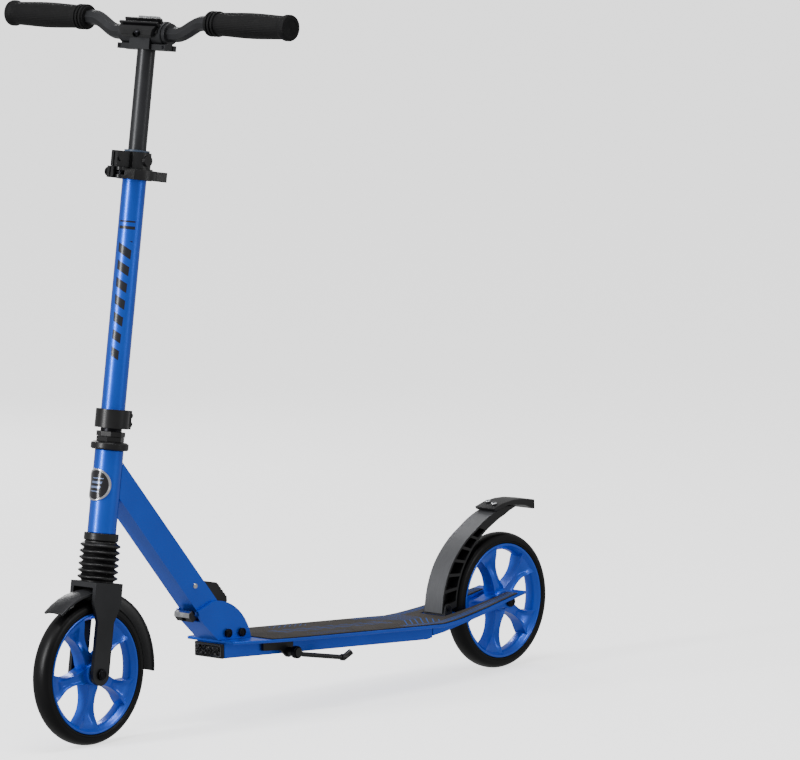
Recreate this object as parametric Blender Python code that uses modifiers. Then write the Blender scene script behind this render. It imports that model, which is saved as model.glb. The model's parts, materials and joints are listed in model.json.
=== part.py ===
"""Folding kick scooter with big wheels, built sub-part by sub-part.

Frame: metres, +Z up, +X to the rear, +Y to the rider's right. The origin is on the ground, halfway
between the two axles. Everything that steers is laid out in the frame of the steering axis: its local Z
runs up that axis from the front axle, and its local X points back.
"""

import math

import bmesh
import bpy
from mathutils import Matrix, Vector

# ---------------------------------------------------------------- driving dimensions (metres, degrees)
WHEELBASE = 0.8524
WHEEL_R = 0.100
TYRE_HALF_W = 0.0145
RIM_R = 0.0835
RIM_DEPTH = 0.009
HUB_R = 0.0165
HUB_HALF_W = 0.0145
BEARING_R = 0.011
BEARING_W = 0.007
AXLE_R = 0.0039
WHEEL_STEPS = 36
SPOKES = 5
FRONT_SPOKE = 45.0                 # where one spoke points, degrees above straight back
REAR_SPOKE = 40.0

LEAN = math.radians(8.61)          # steering axis, leaning back
CROWN_TOP = 0.1254                 # distances up the steering axis from the front axle
BELLOWS_TOP = 0.1815
HEAD_BOTTOM = 0.1927
HEAD_TOP = 0.3070
NUT_TOP = 0.3327
CLAMP_BOTTOM = 0.3373
CLAMP_TOP = 0.3631
QR_BOTTOM = 0.6792
QR_TOP = 0.6950
COLLAR_TOP = 0.7170
BAR_HEIGHT = 0.8814                # centre line of the cross sleeve
POST_BOTTOM = 0.5000

FORK_HALF_W = 0.0245               # crown and legs, outer faces
FORK_LEG_T = 0.0060
CROWN_HALF_X = 0.0265
CROWN_T = 0.0078
LEG_HALF_X = 0.0160
SHAFT_R = 0.0110                   # fork shaft, sliding in the steerer
GUARD_R = 0.1165                   # front mudguard, outer radius
GUARD_T = 0.0030
GUARD_HALF_W = 0.0172

STEERER_R = 0.0148
HEAD_R = 0.0199
HEAD_WALL = 0.0027
STEM_R = 0.0167
STEM_WALL = 0.0034
POST_R = 0.0126
QR_PIN_X = -0.0420                 # cross pin of the height clamp, ahead of the axis
QR_EAR_FACE = 0.0057
QR_BARREL_R = 0.0058
QR_PIVOT_R = 0.0020
BAR_R = 0.0106
SLEEVE_HALF_L = 0.0375
SLEEVE_R = 0.0170
HINGE_DROP = 0.0190                # bar hinge pin, under the sleeve's centre line
PIN_Y = SLEEVE_HALF_L + 0.0035
BAR_RISE = 0.0175
BAR_HALF_SPAN = 0.2652
GRIP_START = 0.1146
GRIP_R = 0.0165
LATCH_X = 0.0180                   # latch hinge, from the sleeve's centre line
LATCH_Z = 0.0085

TUBE_DEPTH = 0.0380                # down tube section, its slope below the horizontal
TUBE_W = 0.0330
TUBE_WALL = 0.0022
TUBE_SLOPE = math.radians(49.0)
PIVOT_X = -0.1424                  # fold pivot, at the tube's rear face
PIVOT_Z = 0.1238
PIVOT_BOLT_R = 0.0040
STOP_AHEAD = 0.0278                # stop bolt, ahead of the pivot
STOP_UP = 0.0020
EYE_R = 0.0080
BRACKET_T = 0.0040
LEVER_HALF_W = 0.0095
LOCK_INSET = 0.0010                # lock bar ends, inside the down tube's sides
RIVET_R = 0.0024
RIVET_IN = 0.0167                  # lever rivet, in from the tube's rear face
RIVET_UP = 0.1138

DECK_Z = 0.1063                    # top of the deck plate halfway between the axles
DECK_SLOPE = 0.0598
DECK_FRONT = -0.1837
DECK_HALF_W = 0.0620
DECK_NOSE_HALF_W = 0.0440
PLATE_T = 0.0045
BEAM_DEPTH = 0.0208
BEAM_HALF_W = 0.0270
BEAM_REAR = 0.2445
GRIP_TAPE_T = 0.0010
ARM_START = 0.2450
ARM_END = 0.4400
ARM_RISE = 0.0360
ARM_FACETS = 8
ARM_INNER = 0.0215
ARM_OUTER = 0.0455
RAIL_T = 0.0060

FENDER_HALF_W = 0.0170
FENDER_FOOT = 0.0310
FENDER_WALL = 0.0030
FENDER_CELLS = 6
BRAKE_GAP = 0.0075                 # brake pad face to the tyre
BRAKE_PIN_R = 0.0030
BRAKE_PIN_UP = 0.0095
FENDER_X = WHEELBASE / 2 - WHEEL_R - BRAKE_GAP - FENDER_FOOT
FENDER_OUT = [(183, 0.0398), (168, 0.0380), (152, 0.0355), (137, 0.0318), (119, 0.0290), (102, 0.0335),
              (90, 0.0382), (80, 0.0404)]       # degrees round the wheel, and reach beyond the tyre
FENDER_IN = [(183, 0.0000), (165, 0.0000), (135, 0.0020), (117, 0.0060), (103, 0.0110), (90, 0.0196), (80, 0.0310)]
PEDAL_HALF_W = 0.0190
PEDAL_END = 0.4915
PEDAL_LIFT = 0.0024

STAND_X = -0.0547                  # kickstand pivot
STAND_Z = 0.0868
STAND_LEG = 0.0760
STAND_R = 0.0035

GAP = 0.0003                       # between parts that touch
RUN = 0.00012                      # radial clearance of what turns or slides

FRONT_AXLE = Vector((-WHEELBASE / 2, 0.0, WHEEL_R))
REAR_AXLE = Vector((WHEELBASE / 2, 0.0, WHEEL_R))
PIVOT = Vector((PIVOT_X, 0.0, PIVOT_Z))
SIDES = {"left": -1, "right": 1}

# ---------------------------------------------------------------- scene set-up and materials
for old in list(bpy.data.objects):
    bpy.data.objects.remove(old, do_unlink=True)

PARTS = bpy.data.collections.new("kick_scooter")
CUTTERS = bpy.data.collections.new("cutters")
for collection in (PARTS, CUTTERS):
    bpy.context.scene.collection.children.link(collection)


def material(name, colour, roughness, metallic):
    made = bpy.data.materials.new(name)
    made.use_nodes = True
    shader = made.node_tree.nodes["Principled BSDF"]
    shader.inputs["Base Color"].default_value = (*colour, 1.0)
    shader.inputs["Roughness"].default_value = roughness
    shader.inputs["Metallic"].default_value = metallic
    return made


BLUE = material("blue_paint", (0.012, 0.100, 0.480), 0.28, 0.55)
DARK_METAL = material("anthracite_metal", (0.040, 0.042, 0.046), 0.38, 0.60)
BLACK_PLASTIC = material("black_plastic", (0.012, 0.012, 0.013), 0.45, 0.0)
RUBBER = material("black_rubber", (0.016, 0.016, 0.017), 0.62, 0.0)
TYRE_RUBBER = material("tyre_rubber", (0.020, 0.020, 0.021), 0.55, 0.0)
STEEL = material("bright_steel", (0.62, 0.63, 0.65), 0.22, 1.0)
GRIT = material("grip_tape", (0.050, 0.044, 0.042), 0.90, 0.0)


# ---------------------------------------------------------------- modelling helpers
def put(name, mesh, look, parent=None, at=(0, 0, 0), turn=(0, 0, 0)):
    """Add a mesh to the scooter as one named piece."""
    piece = bpy.data.objects.new(name, mesh)
    PARTS.objects.link(piece)
    piece.location = at
    piece.rotation_euler = turn
    piece.parent = parent
    mesh.materials.clear()
    mesh.materials.append(look)
    mesh.shade_smooth()
    mesh.set_sharp_from_angle(angle=math.radians(35))
    return piece


def axis_point(name, at, turn=(0, 0, 0), parent=None):
    """An empty on a joint's axis, which the moving pieces hang from."""
    empty = bpy.data.objects.new(name, None)
    PARTS.objects.link(empty)
    empty.location = at
    empty.rotation_euler = turn
    empty.parent = parent
    return empty


def box_mesh(name, low, high):
    low, high = Vector(low), Vector(high)
    shape = bmesh.new()
    bmesh.ops.create_cube(shape, size=1.0)
    scale = Matrix.Diagonal((*(high - low), 1.0))
    bmesh.ops.transform(shape, matrix=Matrix.Translation((low + high) / 2) @ scale, verts=shape.verts)
    mesh = bpy.data.meshes.new(name)
    shape.to_mesh(mesh)
    shape.free()
    return mesh


def rod_mesh(name, radius, start, end, segments=24):
    """A cylinder from one point to another."""
    start, end = Vector(start), Vector(end)
    along = end - start
    shape = bmesh.new()
    bmesh.ops.create_cone(shape, cap_ends=True, segments=segments, radius1=radius, radius2=radius,
                          depth=along.length)
    turn = along.to_track_quat("Z", "Y").to_matrix().to_4x4()
    bmesh.ops.transform(shape, matrix=Matrix.Translation((start + end) / 2) @ turn, verts=shape.verts)
    mesh = bpy.data.meshes.new(name)
    shape.to_mesh(mesh)
    shape.free()
    return mesh


def turned_mesh(name, profile, steps=32, closed=False, axis="Z"):
    """Turn a profile of (radius, height) points, listed from the top down its outer side."""
    mesh = bpy.data.meshes.new(name)
    count = len(profile)
    edges = [(i, i + 1) for i in range(count - 1)] + ([(count - 1, 0)] if closed else [])
    mesh.from_pydata([(r, 0.0, h) for r, h in profile], edges, [])
    blank = bpy.data.objects.new(name, mesh)
    CUTTERS.objects.link(blank)
    screw = blank.modifiers.new("turn", "SCREW")
    screw.steps = steps
    screw.render_steps = steps
    screw.use_merge_vertices = True
    screw.merge_threshold = 0.00001
    result = evaluated(blank)
    bpy.data.objects.remove(blank, do_unlink=True)
    if axis == "Y":
        result.transform(Matrix.Rotation(math.radians(-90), 4, "X"))
    return result


def evaluated(piece):
    """The mesh of an object with its modifiers or bevel, welded into one skin."""
    bpy.context.view_layer.update()
    graph = bpy.context.evaluated_depsgraph_get()
    mesh = bpy.data.meshes.new_from_object(piece.evaluated_get(graph))
    shape = bmesh.new()
    shape.from_mesh(mesh)
    bmesh.ops.remove_doubles(shape, verts=shape.verts, dist=0.00001)
    shape.to_mesh(mesh)
    shape.free()
    return mesh


def outline_mesh(name, points, low, high, plane="XZ"):
    """A flat outline drawn in a plane and extruded from low to high along that plane's normal."""
    drawn = bpy.data.curves.new(name, "CURVE")
    drawn.dimensions = "2D"
    drawn.fill_mode = "BOTH"
    drawn.extrude = abs(high - low) / 2
    spline = drawn.splines.new("POLY")
    spline.points.add(len(points) - 1)
    for point, (a, b) in zip(spline.points, points):
        point.co = (a, b, 0.0, 1.0)
    spline.use_cyclic_u = True
    drawn.render_resolution_u = 0
    blank = bpy.data.objects.new(name, drawn)
    CUTTERS.objects.link(blank)
    mesh = evaluated(blank)
    bpy.data.objects.remove(blank, do_unlink=True)
    middle = (low + high) / 2
    if plane == "XZ":
        mesh.transform(Matrix.Translation((0, middle, 0)) @ Matrix.Rotation(math.radians(90), 4, "X"))
    elif plane == "YZ":
        mesh.transform(Matrix.Translation((middle, 0, 0)) @ Matrix(((0, 0, 1, 0), (1, 0, 0, 0),
                                                                   (0, 1, 0, 0), (0, 0, 0, 1))))
    else:
        mesh.transform(Matrix.Translation((0, 0, middle)))
    return mesh


def tube_mesh(name, points, radius, resolution=3):
    """A round bar along a list of points, with filled ends."""
    drawn = bpy.data.curves.new(name, "CURVE")
    drawn.dimensions = "3D"
    drawn.bevel_depth = radius
    drawn.bevel_resolution = resolution
    drawn.use_fill_caps = True
    drawn.render_resolution_u = 0
    spline = drawn.splines.new("POLY")
    spline.points.add(len(points) - 1)
    for point, place in zip(spline.points, points):
        point.co = (*place, 1.0)
    blank = bpy.data.objects.new(name, drawn)
    CUTTERS.objects.link(blank)
    mesh = evaluated(blank)
    bpy.data.objects.remove(blank, do_unlink=True)
    return mesh


def combine(piece, mesh, how="DIFFERENCE"):
    """Cut a shape out of a piece, or join it on. The shape is given in the piece's own frame."""
    tool = bpy.data.objects.new(f"{piece.name}_{how.lower()}_{len(piece.modifiers)}", mesh)
    CUTTERS.objects.link(tool)
    tool.parent = piece.parent
    tool.location = piece.location
    tool.rotation_euler = piece.rotation_euler
    tool.hide_render = True
    tool.hide_set(True)
    tool.display_type = "WIRE"
    step = piece.modifiers.new(how.lower(), "BOOLEAN")
    step.operation = how
    step.object = tool
    return piece


def soften(piece, width, segments=1, angle=40):
    """Round a piece's edges."""
    bevel = piece.modifiers.new("soften", "BEVEL")
    bevel.width = width
    bevel.segments = segments
    bevel.limit_method = "ANGLE"
    bevel.angle_limit = math.radians(angle)
    return piece


def arc(centre, radius, start, end, count):
    """Points on an arc, angles in degrees from the first axis of the plane."""
    angles = [math.radians(start + (end - start) * i / (count - 1)) for i in range(count)]
    return [(centre[0] + radius * math.cos(a), centre[1] + radius * math.sin(a)) for a in angles]


def ring(inner, outer, bottom, top):
    """Closed profile of a plain ring."""
    return [(outer, top), (outer, bottom), (inner, bottom), (inner, top)]


# ---------------------------------------------------------------- wheels
def wheel(which, parent, first_spoke):
    """Tyre, five-spoke rim and two bearings, turning about local Y."""
    half = TYRE_HALF_W
    seat = RIM_R + GAP
    side = [(WHEEL_R - 0.0007, half * 0.34), (WHEEL_R - 0.0030, half * 0.66), (WHEEL_R - 0.0066, half * 0.91),
            (WHEEL_R - 0.0105, half), (WHEEL_R - 0.0140, half * 0.98), (seat, half * 0.88)]
    tyre = [(r, y) for r, y in reversed(side)] + [(WHEEL_R, 0.0)] + [(r, -y) for r, y in side]
    put(f"{which}_tyre", turned_mesh("tyre", tyre, WHEEL_STEPS, closed=True, axis="Y"), TYRE_RUBBER, parent)

    inside = RIM_R - RIM_DEPTH
    lip = half * 0.92
    profile = [(RIM_R, lip), (RIM_R, -lip), (RIM_R - 0.0030, -lip), (inside + 0.0014, -lip * 0.72),
               (inside, 0.0), (inside + 0.0014, lip * 0.72), (RIM_R - 0.0030, lip)]
    rim = put(f"{which}_rim", turned_mesh("rim", profile, WHEEL_STEPS, closed=True, axis="Y"), BLUE, parent)
    hub = rod_mesh("hub", HUB_R, (0, -HUB_HALF_W, 0), (0, HUB_HALF_W, 0), 30)
    combine(rim, hub, "UNION")
    for number in range(SPOKES):
        combine(rim, spoke_mesh(first_spoke + 360 / SPOKES * number, inside), "UNION")
    bore = rod_mesh("bore", BEARING_R + GAP, (0, -half * 2, 0), (0, half * 2, 0), 20)
    combine(rim, bore)
    for side_name, sign in SIDES.items():
        faces = sorted((sign * (HUB_HALF_W - BEARING_W), sign * HUB_HALF_W))
        bearing = turned_mesh("bearing", ring(AXLE_R + RUN, BEARING_R, *faces), 16, closed=True, axis="Y")
        put(f"{which}_bearing_{side_name}", bearing, STEEL, parent)


def spoke_mesh(angle, rim_inside):
    """One spoke: slim in the middle, flaring into the hub and into the rim."""
    stations = [(HUB_R - 0.004, 0.0105), (HUB_R + 0.004, 0.0090), (0.034, 0.0066), (0.050, 0.0066),
                (0.062, 0.0094), (0.070, 0.0140), (rim_inside + 0.003, 0.0175)]
    edge = [(r, w) for r, w in stations] + [(r, -w) for r, w in reversed(stations)]
    mesh = outline_mesh("spoke", edge, -TYRE_HALF_W * 0.62, TYRE_HALF_W * 0.62)
    mesh.transform(Matrix.Rotation(math.radians(-angle), 4, "Y"))
    return mesh


def axle(name, parent, half_gap, wall, head_r=0.0080, head_t=0.0040):
    """Axle bolt through both supports, with a spacer collar on each side of the hub."""
    inner = half_gap - GAP
    hub = HUB_HALF_W + GAP
    outer = half_gap + wall + GAP
    half = [(AXLE_R, hub), (AXLE_R + 0.0030, hub), (AXLE_R + 0.0030, inner), (AXLE_R, inner), (AXLE_R, outer),
            (head_r, outer), (head_r, outer + head_t * 0.7), (head_r * 0.82, outer + head_t),
            (0.0, outer + head_t)]
    profile = [(r, y) for r, y in reversed(half)] + [(r, -y) for r, y in half]
    return put(name, turned_mesh(name, profile, 16, axis="Y"), BLACK_PLASTIC, parent)


# ---------------------------------------------------------------- deck
def deck_top(x):
    """Height of the deck's upper face. It slopes down to the rear, then the two arms rise to the axle."""
    share = min(max((x - ARM_START) / (ARM_END - ARM_START), 0.0), 1.0)
    return DECK_Z - DECK_SLOPE * x + ARM_RISE * share ** 1.3


def half_width(x):
    """Half width of the deck: narrow at the nose, full in the middle, drawn in along the arms."""
    nose = math.sin(math.pi / 2 * min(max((x - DECK_FRONT) / 0.130, 0.0), 1.0))
    tail = min(max((x - 0.200) / (ARM_END - 0.200), 0.0), 1.0)
    drawn_in = (DECK_HALF_W - ARM_OUTER) * (3 * tail ** 2 - 2 * tail ** 3)
    return DECK_NOSE_HALF_W + (DECK_HALF_W - DECK_NOSE_HALF_W) * nose - drawn_in


def deck_outline(start, end, inset, fork_x, inner):
    """Plan outline of a sheet on the deck, forked at the rear around the wheel."""
    front = [start + (ARM_START - start) * i / 8 for i in range(8)]
    arms = [ARM_START + (ARM_END - ARM_START) * i / ARM_FACETS for i in range(ARM_FACETS + 1)]
    xs = front + [x for x in arms if x < end - 0.004] + [end]
    tips = [(x, -(half_width(x) - inset)) for x in xs]
    forks = [fork_x] + [x for x in arms if fork_x + 0.004 < x < end - 0.004] + [end]
    gap = [(x, -inner) for x in reversed(forks)]
    near = tips + gap
    return near + [(x, -y) for x, y in reversed(near)]


def laid_on_deck(mesh, lift):
    """Bend a flat sheet so that it follows the deck, with cross lines where the arms curve."""
    shape = bmesh.new()
    shape.from_mesh(mesh)
    for number in range(ARM_FACETS):
        station = ARM_START + (ARM_END - ARM_START) * number / ARM_FACETS
        everything = shape.verts[:] + shape.edges[:] + shape.faces[:]
        bmesh.ops.bisect_plane(shape, geom=everything, dist=0.00001, plane_co=(station, 0, 0), plane_no=(1, 0, 0))
    bmesh.ops.remove_doubles(shape, verts=shape.verts, dist=0.00001)
    for corner in shape.verts:
        corner.co.z += deck_top(corner.co.x) + lift
    bmesh.ops.triangulate(shape, faces=shape.faces)
    shape.to_mesh(mesh)
    shape.free()
    return mesh


def deck():
    wheel_gap_x = REAR_AXLE.x - WHEEL_R - 0.012
    outline = deck_outline(DECK_FRONT, ARM_END, 0.0, wheel_gap_x, ARM_INNER)
    put("deck_plate", laid_on_deck(outline_mesh("deck_plate", outline, -PLATE_T, 0, "XY"), 0), BLUE)

    bottom = -PLATE_T - GAP - BEAM_DEPTH
    rear_end = wheel_gap_x - 0.004
    rising = deck_top(BEAM_REAR + 0.037) + bottom + 0.0040
    profile = [(DECK_FRONT + 0.001, deck_top(DECK_FRONT) - PLATE_T - GAP),
               (DECK_FRONT + 0.001, deck_top(DECK_FRONT) + bottom),
               (BEAM_REAR, deck_top(BEAM_REAR) + bottom), (BEAM_REAR + 0.037, rising),
               (rear_end, deck_top(rear_end) - PLATE_T - 0.012)]
    stations = [rear_end - (rear_end - ARM_START) * i / 5 for i in range(6)]
    profile += [(x, deck_top(x) - PLATE_T - GAP) for x in stations]
    beam = put("deck_beam", outline_mesh("deck_beam", profile, -BEAM_HALF_W, BEAM_HALF_W), BLUE)
    for side in (-1, 1):
        rail_slot = box_mesh("rail_slot", (BEAM_REAR + 0.01, min(side * (ARM_INNER - 0.0013), side * 0.04), 0),
                             (0.35, max(side * (ARM_INNER - 0.0013), side * 0.04), 0.15))
        combine(beam, rail_slot)

    fork_edge = ARM_INNER + 0.0022
    sheet = deck_outline(-0.1150, ARM_END - 0.016, 0.0026, FENDER_X - 0.004, fork_edge)
    put("grip_tape", laid_on_deck(outline_mesh("grip_tape", sheet, 0, GRIP_TAPE_T, "XY"), GAP), GRIT)

    top = deck_top(DECK_FRONT) - PLATE_T - 2 * GAP
    nose = put("nose_cap", box_mesh("nose_cap", (DECK_FRONT - 0.0035, -BEAM_HALF_W, top - BEAM_DEPTH),
                                    (DECK_FRONT + 0.0007, BEAM_HALF_W, top)), BLACK_PLASTIC)
    soften(nose, 0.0012, 2)
    rails()
    axle("rear_axle", axis_point("rear_axle_line", REAR_AXLE), ARM_INNER - 0.001, RAIL_T)


def rails():
    """Side rails under the arms, each ending in a round lug on the rear axle."""
    lug_r = 0.0115
    for side_name, side in SIDES.items():
        top_xs = [ARM_END - 0.006 - (ARM_END - 0.006 - BEAM_REAR - 0.012) * i / 10 for i in range(11)]
        under = [(x, deck_top(x) - PLATE_T - GAP) for x in top_xs]
        low_x = BEAM_REAR + 0.037
        low = [(BEAM_REAR + 0.012, deck_top(BEAM_REAR) - PLATE_T - BEAM_DEPTH + 0.0035),
               (low_x, deck_top(low_x) - PLATE_T - BEAM_DEPTH + 0.0040),
               (REAR_AXLE.x - 0.035, deck_top(REAR_AXLE.x - 0.035) - 0.0165)]
        lug = arc((REAR_AXLE.x, REAR_AXLE.z), lug_r, 220, 350, 10)
        low_y = side * (ARM_INNER - 0.001)
        faces = sorted((low_y, low_y + side * RAIL_T))
        rail = put(f"rear_rail_{side_name}", outline_mesh("rail", under + low + lug, *faces), BLUE)
        bolt_way = rod_mesh("axle_way", AXLE_R + GAP, (REAR_AXLE.x, -0.1, REAR_AXLE.z),
                            (REAR_AXLE.x, 0.1, REAR_AXLE.z), 24)
        combine(rail, bolt_way)


# ---------------------------------------------------------------- folding bracket
def along_tube(out, up):
    """A point in the side view, measured from the pivot: out of the down tube's rear face, and up the tube."""
    rise = Vector((-math.cos(TUBE_SLOPE), 0, math.sin(TUBE_SLOPE)))
    face = Vector((math.sin(TUBE_SLOPE), 0, math.cos(TUBE_SLOPE)))
    place = PIVOT + rise * up + face * out
    return place.x, place.z


def bracket():
    """U-shaped bracket that holds the down tube's foot between two rounded cheeks."""
    inside = TUBE_W / 2 + 0.0006
    outside = inside + BRACKET_T
    front = -TUBE_DEPTH
    centre = (PIVOT_X - 0.0532, PIVOT_Z - 0.0254)
    rear_x = PIVOT_X + 0.0212
    cheek = arc(centre, 0.0755, 13, 92, 12)
    foot_x = along_tube(front - 0.0032, 0.0243)[0]
    seat = [(x, deck_top(x) + GAP) for x in (foot_x, rear_x)]
    edge = [along_tube(front - 0.0020, 0.0870), along_tube(front - 0.0055, 0.0740),
            along_tube(front - 0.0062, 0.0660)]
    outline = outline_mesh("fold_bracket", [seat[1]] + cheek + edge + [seat[0]], -outside, outside)
    made = put("fold_bracket", outline, BLUE)
    web = 0.0024
    clear_foot = along_tube(front - 0.0008, 0.0215)
    behind_web = [along_tube(front - 0.0062 + web, 0.0660), clear_foot, (clear_foot[0], seat[0][1] - 0.02)]
    over_web = [along_tube(front - 0.03, 0.13), along_tube(front - 0.03, 0.0690),
                along_tube(front - 0.0062 + web, 0.0690)]
    room = [(rear_x + 0.03, seat[1][1] - 0.02), (rear_x + 0.03, seat[1][1] + 0.12)] + over_web + behind_web
    combine(made, outline_mesh("cheek_gap", room, -inside, inside))
    stop = (PIVOT_X - STOP_AHEAD, PIVOT_Z + STOP_UP)
    for x, z in ((PIVOT_X, PIVOT_Z), stop):
        combine(made, rod_mesh("bolt_way", PIVOT_BOLT_R + GAP, (x, -0.1, z), (x, 0.1, z), 20))
    for name, (x, z) in (("pivot_bolt", (PIVOT_X, PIVOT_Z)), ("stop_bolt", stop)):
        end = outside + GAP
        head = [(PIVOT_BOLT_R, end), (0.0062, end), (0.0062, end + 0.0018), (0.0048, end + 0.0030),
                (0.0, end + 0.0030)]
        put(name, turned_mesh(name, both_ends(head), 14, axis="Y"), BLACK_PLASTIC, None, (x, 0, z))


def both_ends(half):
    """Mirror half a pin's profile, listed from its middle outwards, into a whole one from end to end."""
    return [(r, y) for r, y in reversed(half)] + [(r, -y) for r, y in half]


def lock_bar():
    """Sliding bar at the bracket's front, behind which the down tube latches."""
    width = TUBE_W / 2 - LOCK_INSET
    front = -TUBE_DEPTH
    block = [along_tube(front - 0.0150, 0.0775), along_tube(front - 0.0062, 0.0775),
             along_tube(front - 0.0062, 0.0905), along_tube(front - 0.0110, 0.0915),
             along_tube(front - 0.0150, 0.0880)]
    bar = put("lock_bar", outline_mesh("lock_bar", block, -width, width), BLACK_PLASTIC)
    tongue = [along_tube(front - 0.0080, 0.0800), along_tube(front - 0.0010, 0.0800),
              along_tube(front - 0.0010, 0.0860), along_tube(front - 0.0080, 0.0860)]
    combine(bar, outline_mesh("tongue", tongue, -TUBE_W * 0.35, TUBE_W * 0.35), "UNION")
    return bar


# ---------------------------------------------------------------- neck: head tube, down tube, lever
def neck(fold, steer, tube_line):
    """Head tube and down tube, which fold back over the deck as one."""
    inner = HEAD_R - HEAD_WALL
    put("head_tube", turned_mesh("head_tube", ring(inner, HEAD_R, HEAD_BOTTOM, HEAD_TOP), 32, closed=True),
        BLUE, steer)
    bearing = STEERER_R + RUN
    foot = BELLOWS_TOP + GAP
    seat = HEAD_BOTTOM - GAP
    low = [(0.0240, seat), (0.0240, foot + 0.0012), (0.0225, foot), (bearing, foot), (bearing, seat)]
    put("headset_lower_cup", turned_mesh("lower_cup", low, 28, closed=True), BLACK_PLASTIC, steer)
    seat = HEAD_TOP + GAP
    top = [(0.0225, seat + 0.0112), (0.0262, seat + 0.0090), (0.0262, seat + 0.0016), (0.0240, seat),
           (bearing, seat), (bearing, seat + 0.0112)]
    put("headset_upper_cup", turned_mesh("upper_cup", top, 28, closed=True), BLACK_PLASTIC, steer)
    badge_z = (HEAD_BOTTOM + HEAD_TOP) / 2 + 0.0080
    disc = rod_mesh("head_badge", 0.0225, (-HEAD_R - 0.01, 0, badge_z), (-0.0040, 0, badge_z), 32)
    disc.transform(Matrix.Diagonal((1.0, 0.81, 1.0, 1.0)))
    badge = put("head_badge", disc, STEEL, steer)
    combine(badge, rod_mesh("badge_seat", HEAD_R + GAP, (0, 0, 0), (0, 0, 1), 32))
    combine(badge, rod_mesh("badge_skin", HEAD_R + 0.0022, (0, 0, 0), (0, 0, 1), 32), "INTERSECT")
    down_tube(fold, steer, tube_line)


def down_tube(fold, steer, tube_line):
    """Rectangular tube in its own frame: local Z runs up it, and its rear face is at local X = 0."""
    half_w, wall = TUBE_W / 2, TUBE_WALL
    reach = (PIVOT - FRONT_AXLE).length * 1.3
    tube = put("down_tube", box_mesh("down_tube", (-TUBE_DEPTH, -half_w, 0), (0, half_w, reach)), BLUE,
               tube_line)
    combine(tube, box_mesh("hollow", (-TUBE_DEPTH + wall, -half_w + wall, -1), (-wall, half_w - wall, 1)))
    combine(tube, rod_mesh("eye", EYE_R, (0, -half_w, 0), (0, half_w, 0), 24), "UNION")
    combine(tube, rod_mesh("pivot_way", PIVOT_BOLT_R + RUN, (0, -0.1, 0), (0, 0.1, 0), 20))
    bpy.context.view_layer.update()
    to_tube = tube_line.matrix_world.inverted()
    head_way = rod_mesh("head_way", HEAD_R + GAP, (0, 0, -0.5), (0, 0, 0.9), 32)
    head_way.transform(to_tube @ steer.matrix_world)
    combine(tube, head_way)
    ahead = box_mesh("ahead_of_head", (-0.30, -0.1, 0.02), (0, 0.1, 0.5))
    ahead.transform(to_tube @ steer.matrix_world)
    combine(tube, ahead)
    under = box_mesh("under_foot", (-0.10, -0.1, -0.10), (-EYE_R - 0.0005, 0.1, -0.0045))
    notch = box_mesh("stop_notch", (-STOP_AHEAD - PIVOT_BOLT_R - 0.0006, -0.1, -0.10),
                     (-STOP_AHEAD + PIVOT_BOLT_R + 0.0030, 0.1, STOP_UP + PIVOT_BOLT_R + 0.0006))
    for cut in (under, notch):
        cut.transform(to_tube @ fold.matrix_world)
        combine(tube, cut)
    slot_w = LEVER_HALF_W + 0.0010
    combine(tube, box_mesh("lever_slot", (-wall * 3, -slot_w, 0.034), (0.05, slot_w, 0.114)))
    rivet_line = (-RIVET_IN, -0.1, RIVET_UP), (-RIVET_IN, 0.1, RIVET_UP)
    combine(tube, rod_mesh("rivet_way", RIVET_R + GAP, *rivet_line, 16))
    end = half_w + GAP
    head = [(RIVET_R, end), (0.0042, end), (0.0034, end + 0.0012), (0.0, end + 0.0018)]
    put("lever_rivet", turned_mesh("lever_rivet", both_ends(head), 12, axis="Y"), STEEL, tube_line,
        (-RIVET_IN, 0, RIVET_UP))


def fold_lever(tube_line):
    """Foot lever on the rivet inside the down tube. Its pad stands out behind the tube."""
    line = axis_point("fold_lever_axis", (-RIVET_IN, 0, RIVET_UP), (0, 0, 0), tube_line)
    eye = arc((0, 0), 0.0056, 130, 250, 6)
    pad = [(0.0140, -0.0300), (0.0185, -0.0481), (0.0270, -0.0681), (0.0340, -0.0701), (0.0385, -0.0641),
           (0.0379, -0.0351), (0.0213, -0.0141), (0.0050, 0.0040)]
    lever = put("fold_lever", outline_mesh("fold_lever", eye + pad, -LEVER_HALF_W, LEVER_HALF_W), BLACK_PLASTIC,
                line)
    combine(lever, rod_mesh("rivet_way", RIVET_R + RUN, (0, -0.1, 0), (0, 0.1, 0), 16))
    ridge_count = 5
    for number in range(ridge_count):
        height = -0.0625 + 0.0250 * number / (ridge_count - 1)
        combine(lever, box_mesh("ridge_gap", (0.0372, -0.1, height), (0.05, 0.1, height + 0.0022)))


# ---------------------------------------------------------------- steering column
def clamp(name, parent, bottom, top, bore_r, outer_r, ear, turn=0.0, ear_t=0.0045, slit=0.0024):
    """Split clamp ring with two ears towards local -X and a bolt way across them."""
    outline = arc((0, 0), outer_r, -150, 150, 22)
    outline += [(-outer_r * 0.85, ear_t + slit / 2), (-ear, ear_t + slit / 2), (-ear, -ear_t - slit / 2),
                (-outer_r * 0.85, -ear_t - slit / 2)]
    ring_piece = put(name, outline_mesh(name, outline, bottom, top, "XY"), BLACK_PLASTIC, parent,
                     turn=(0, 0, turn))
    combine(ring_piece, rod_mesh("bore", bore_r, (0, 0, bottom - 0.01), (0, 0, top + 0.01), 32))
    combine(ring_piece, box_mesh("slit", (-ear - 0.01, -slit / 2, bottom - 0.01), (0, slit / 2, top + 0.01)))
    return ring_piece


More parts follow.
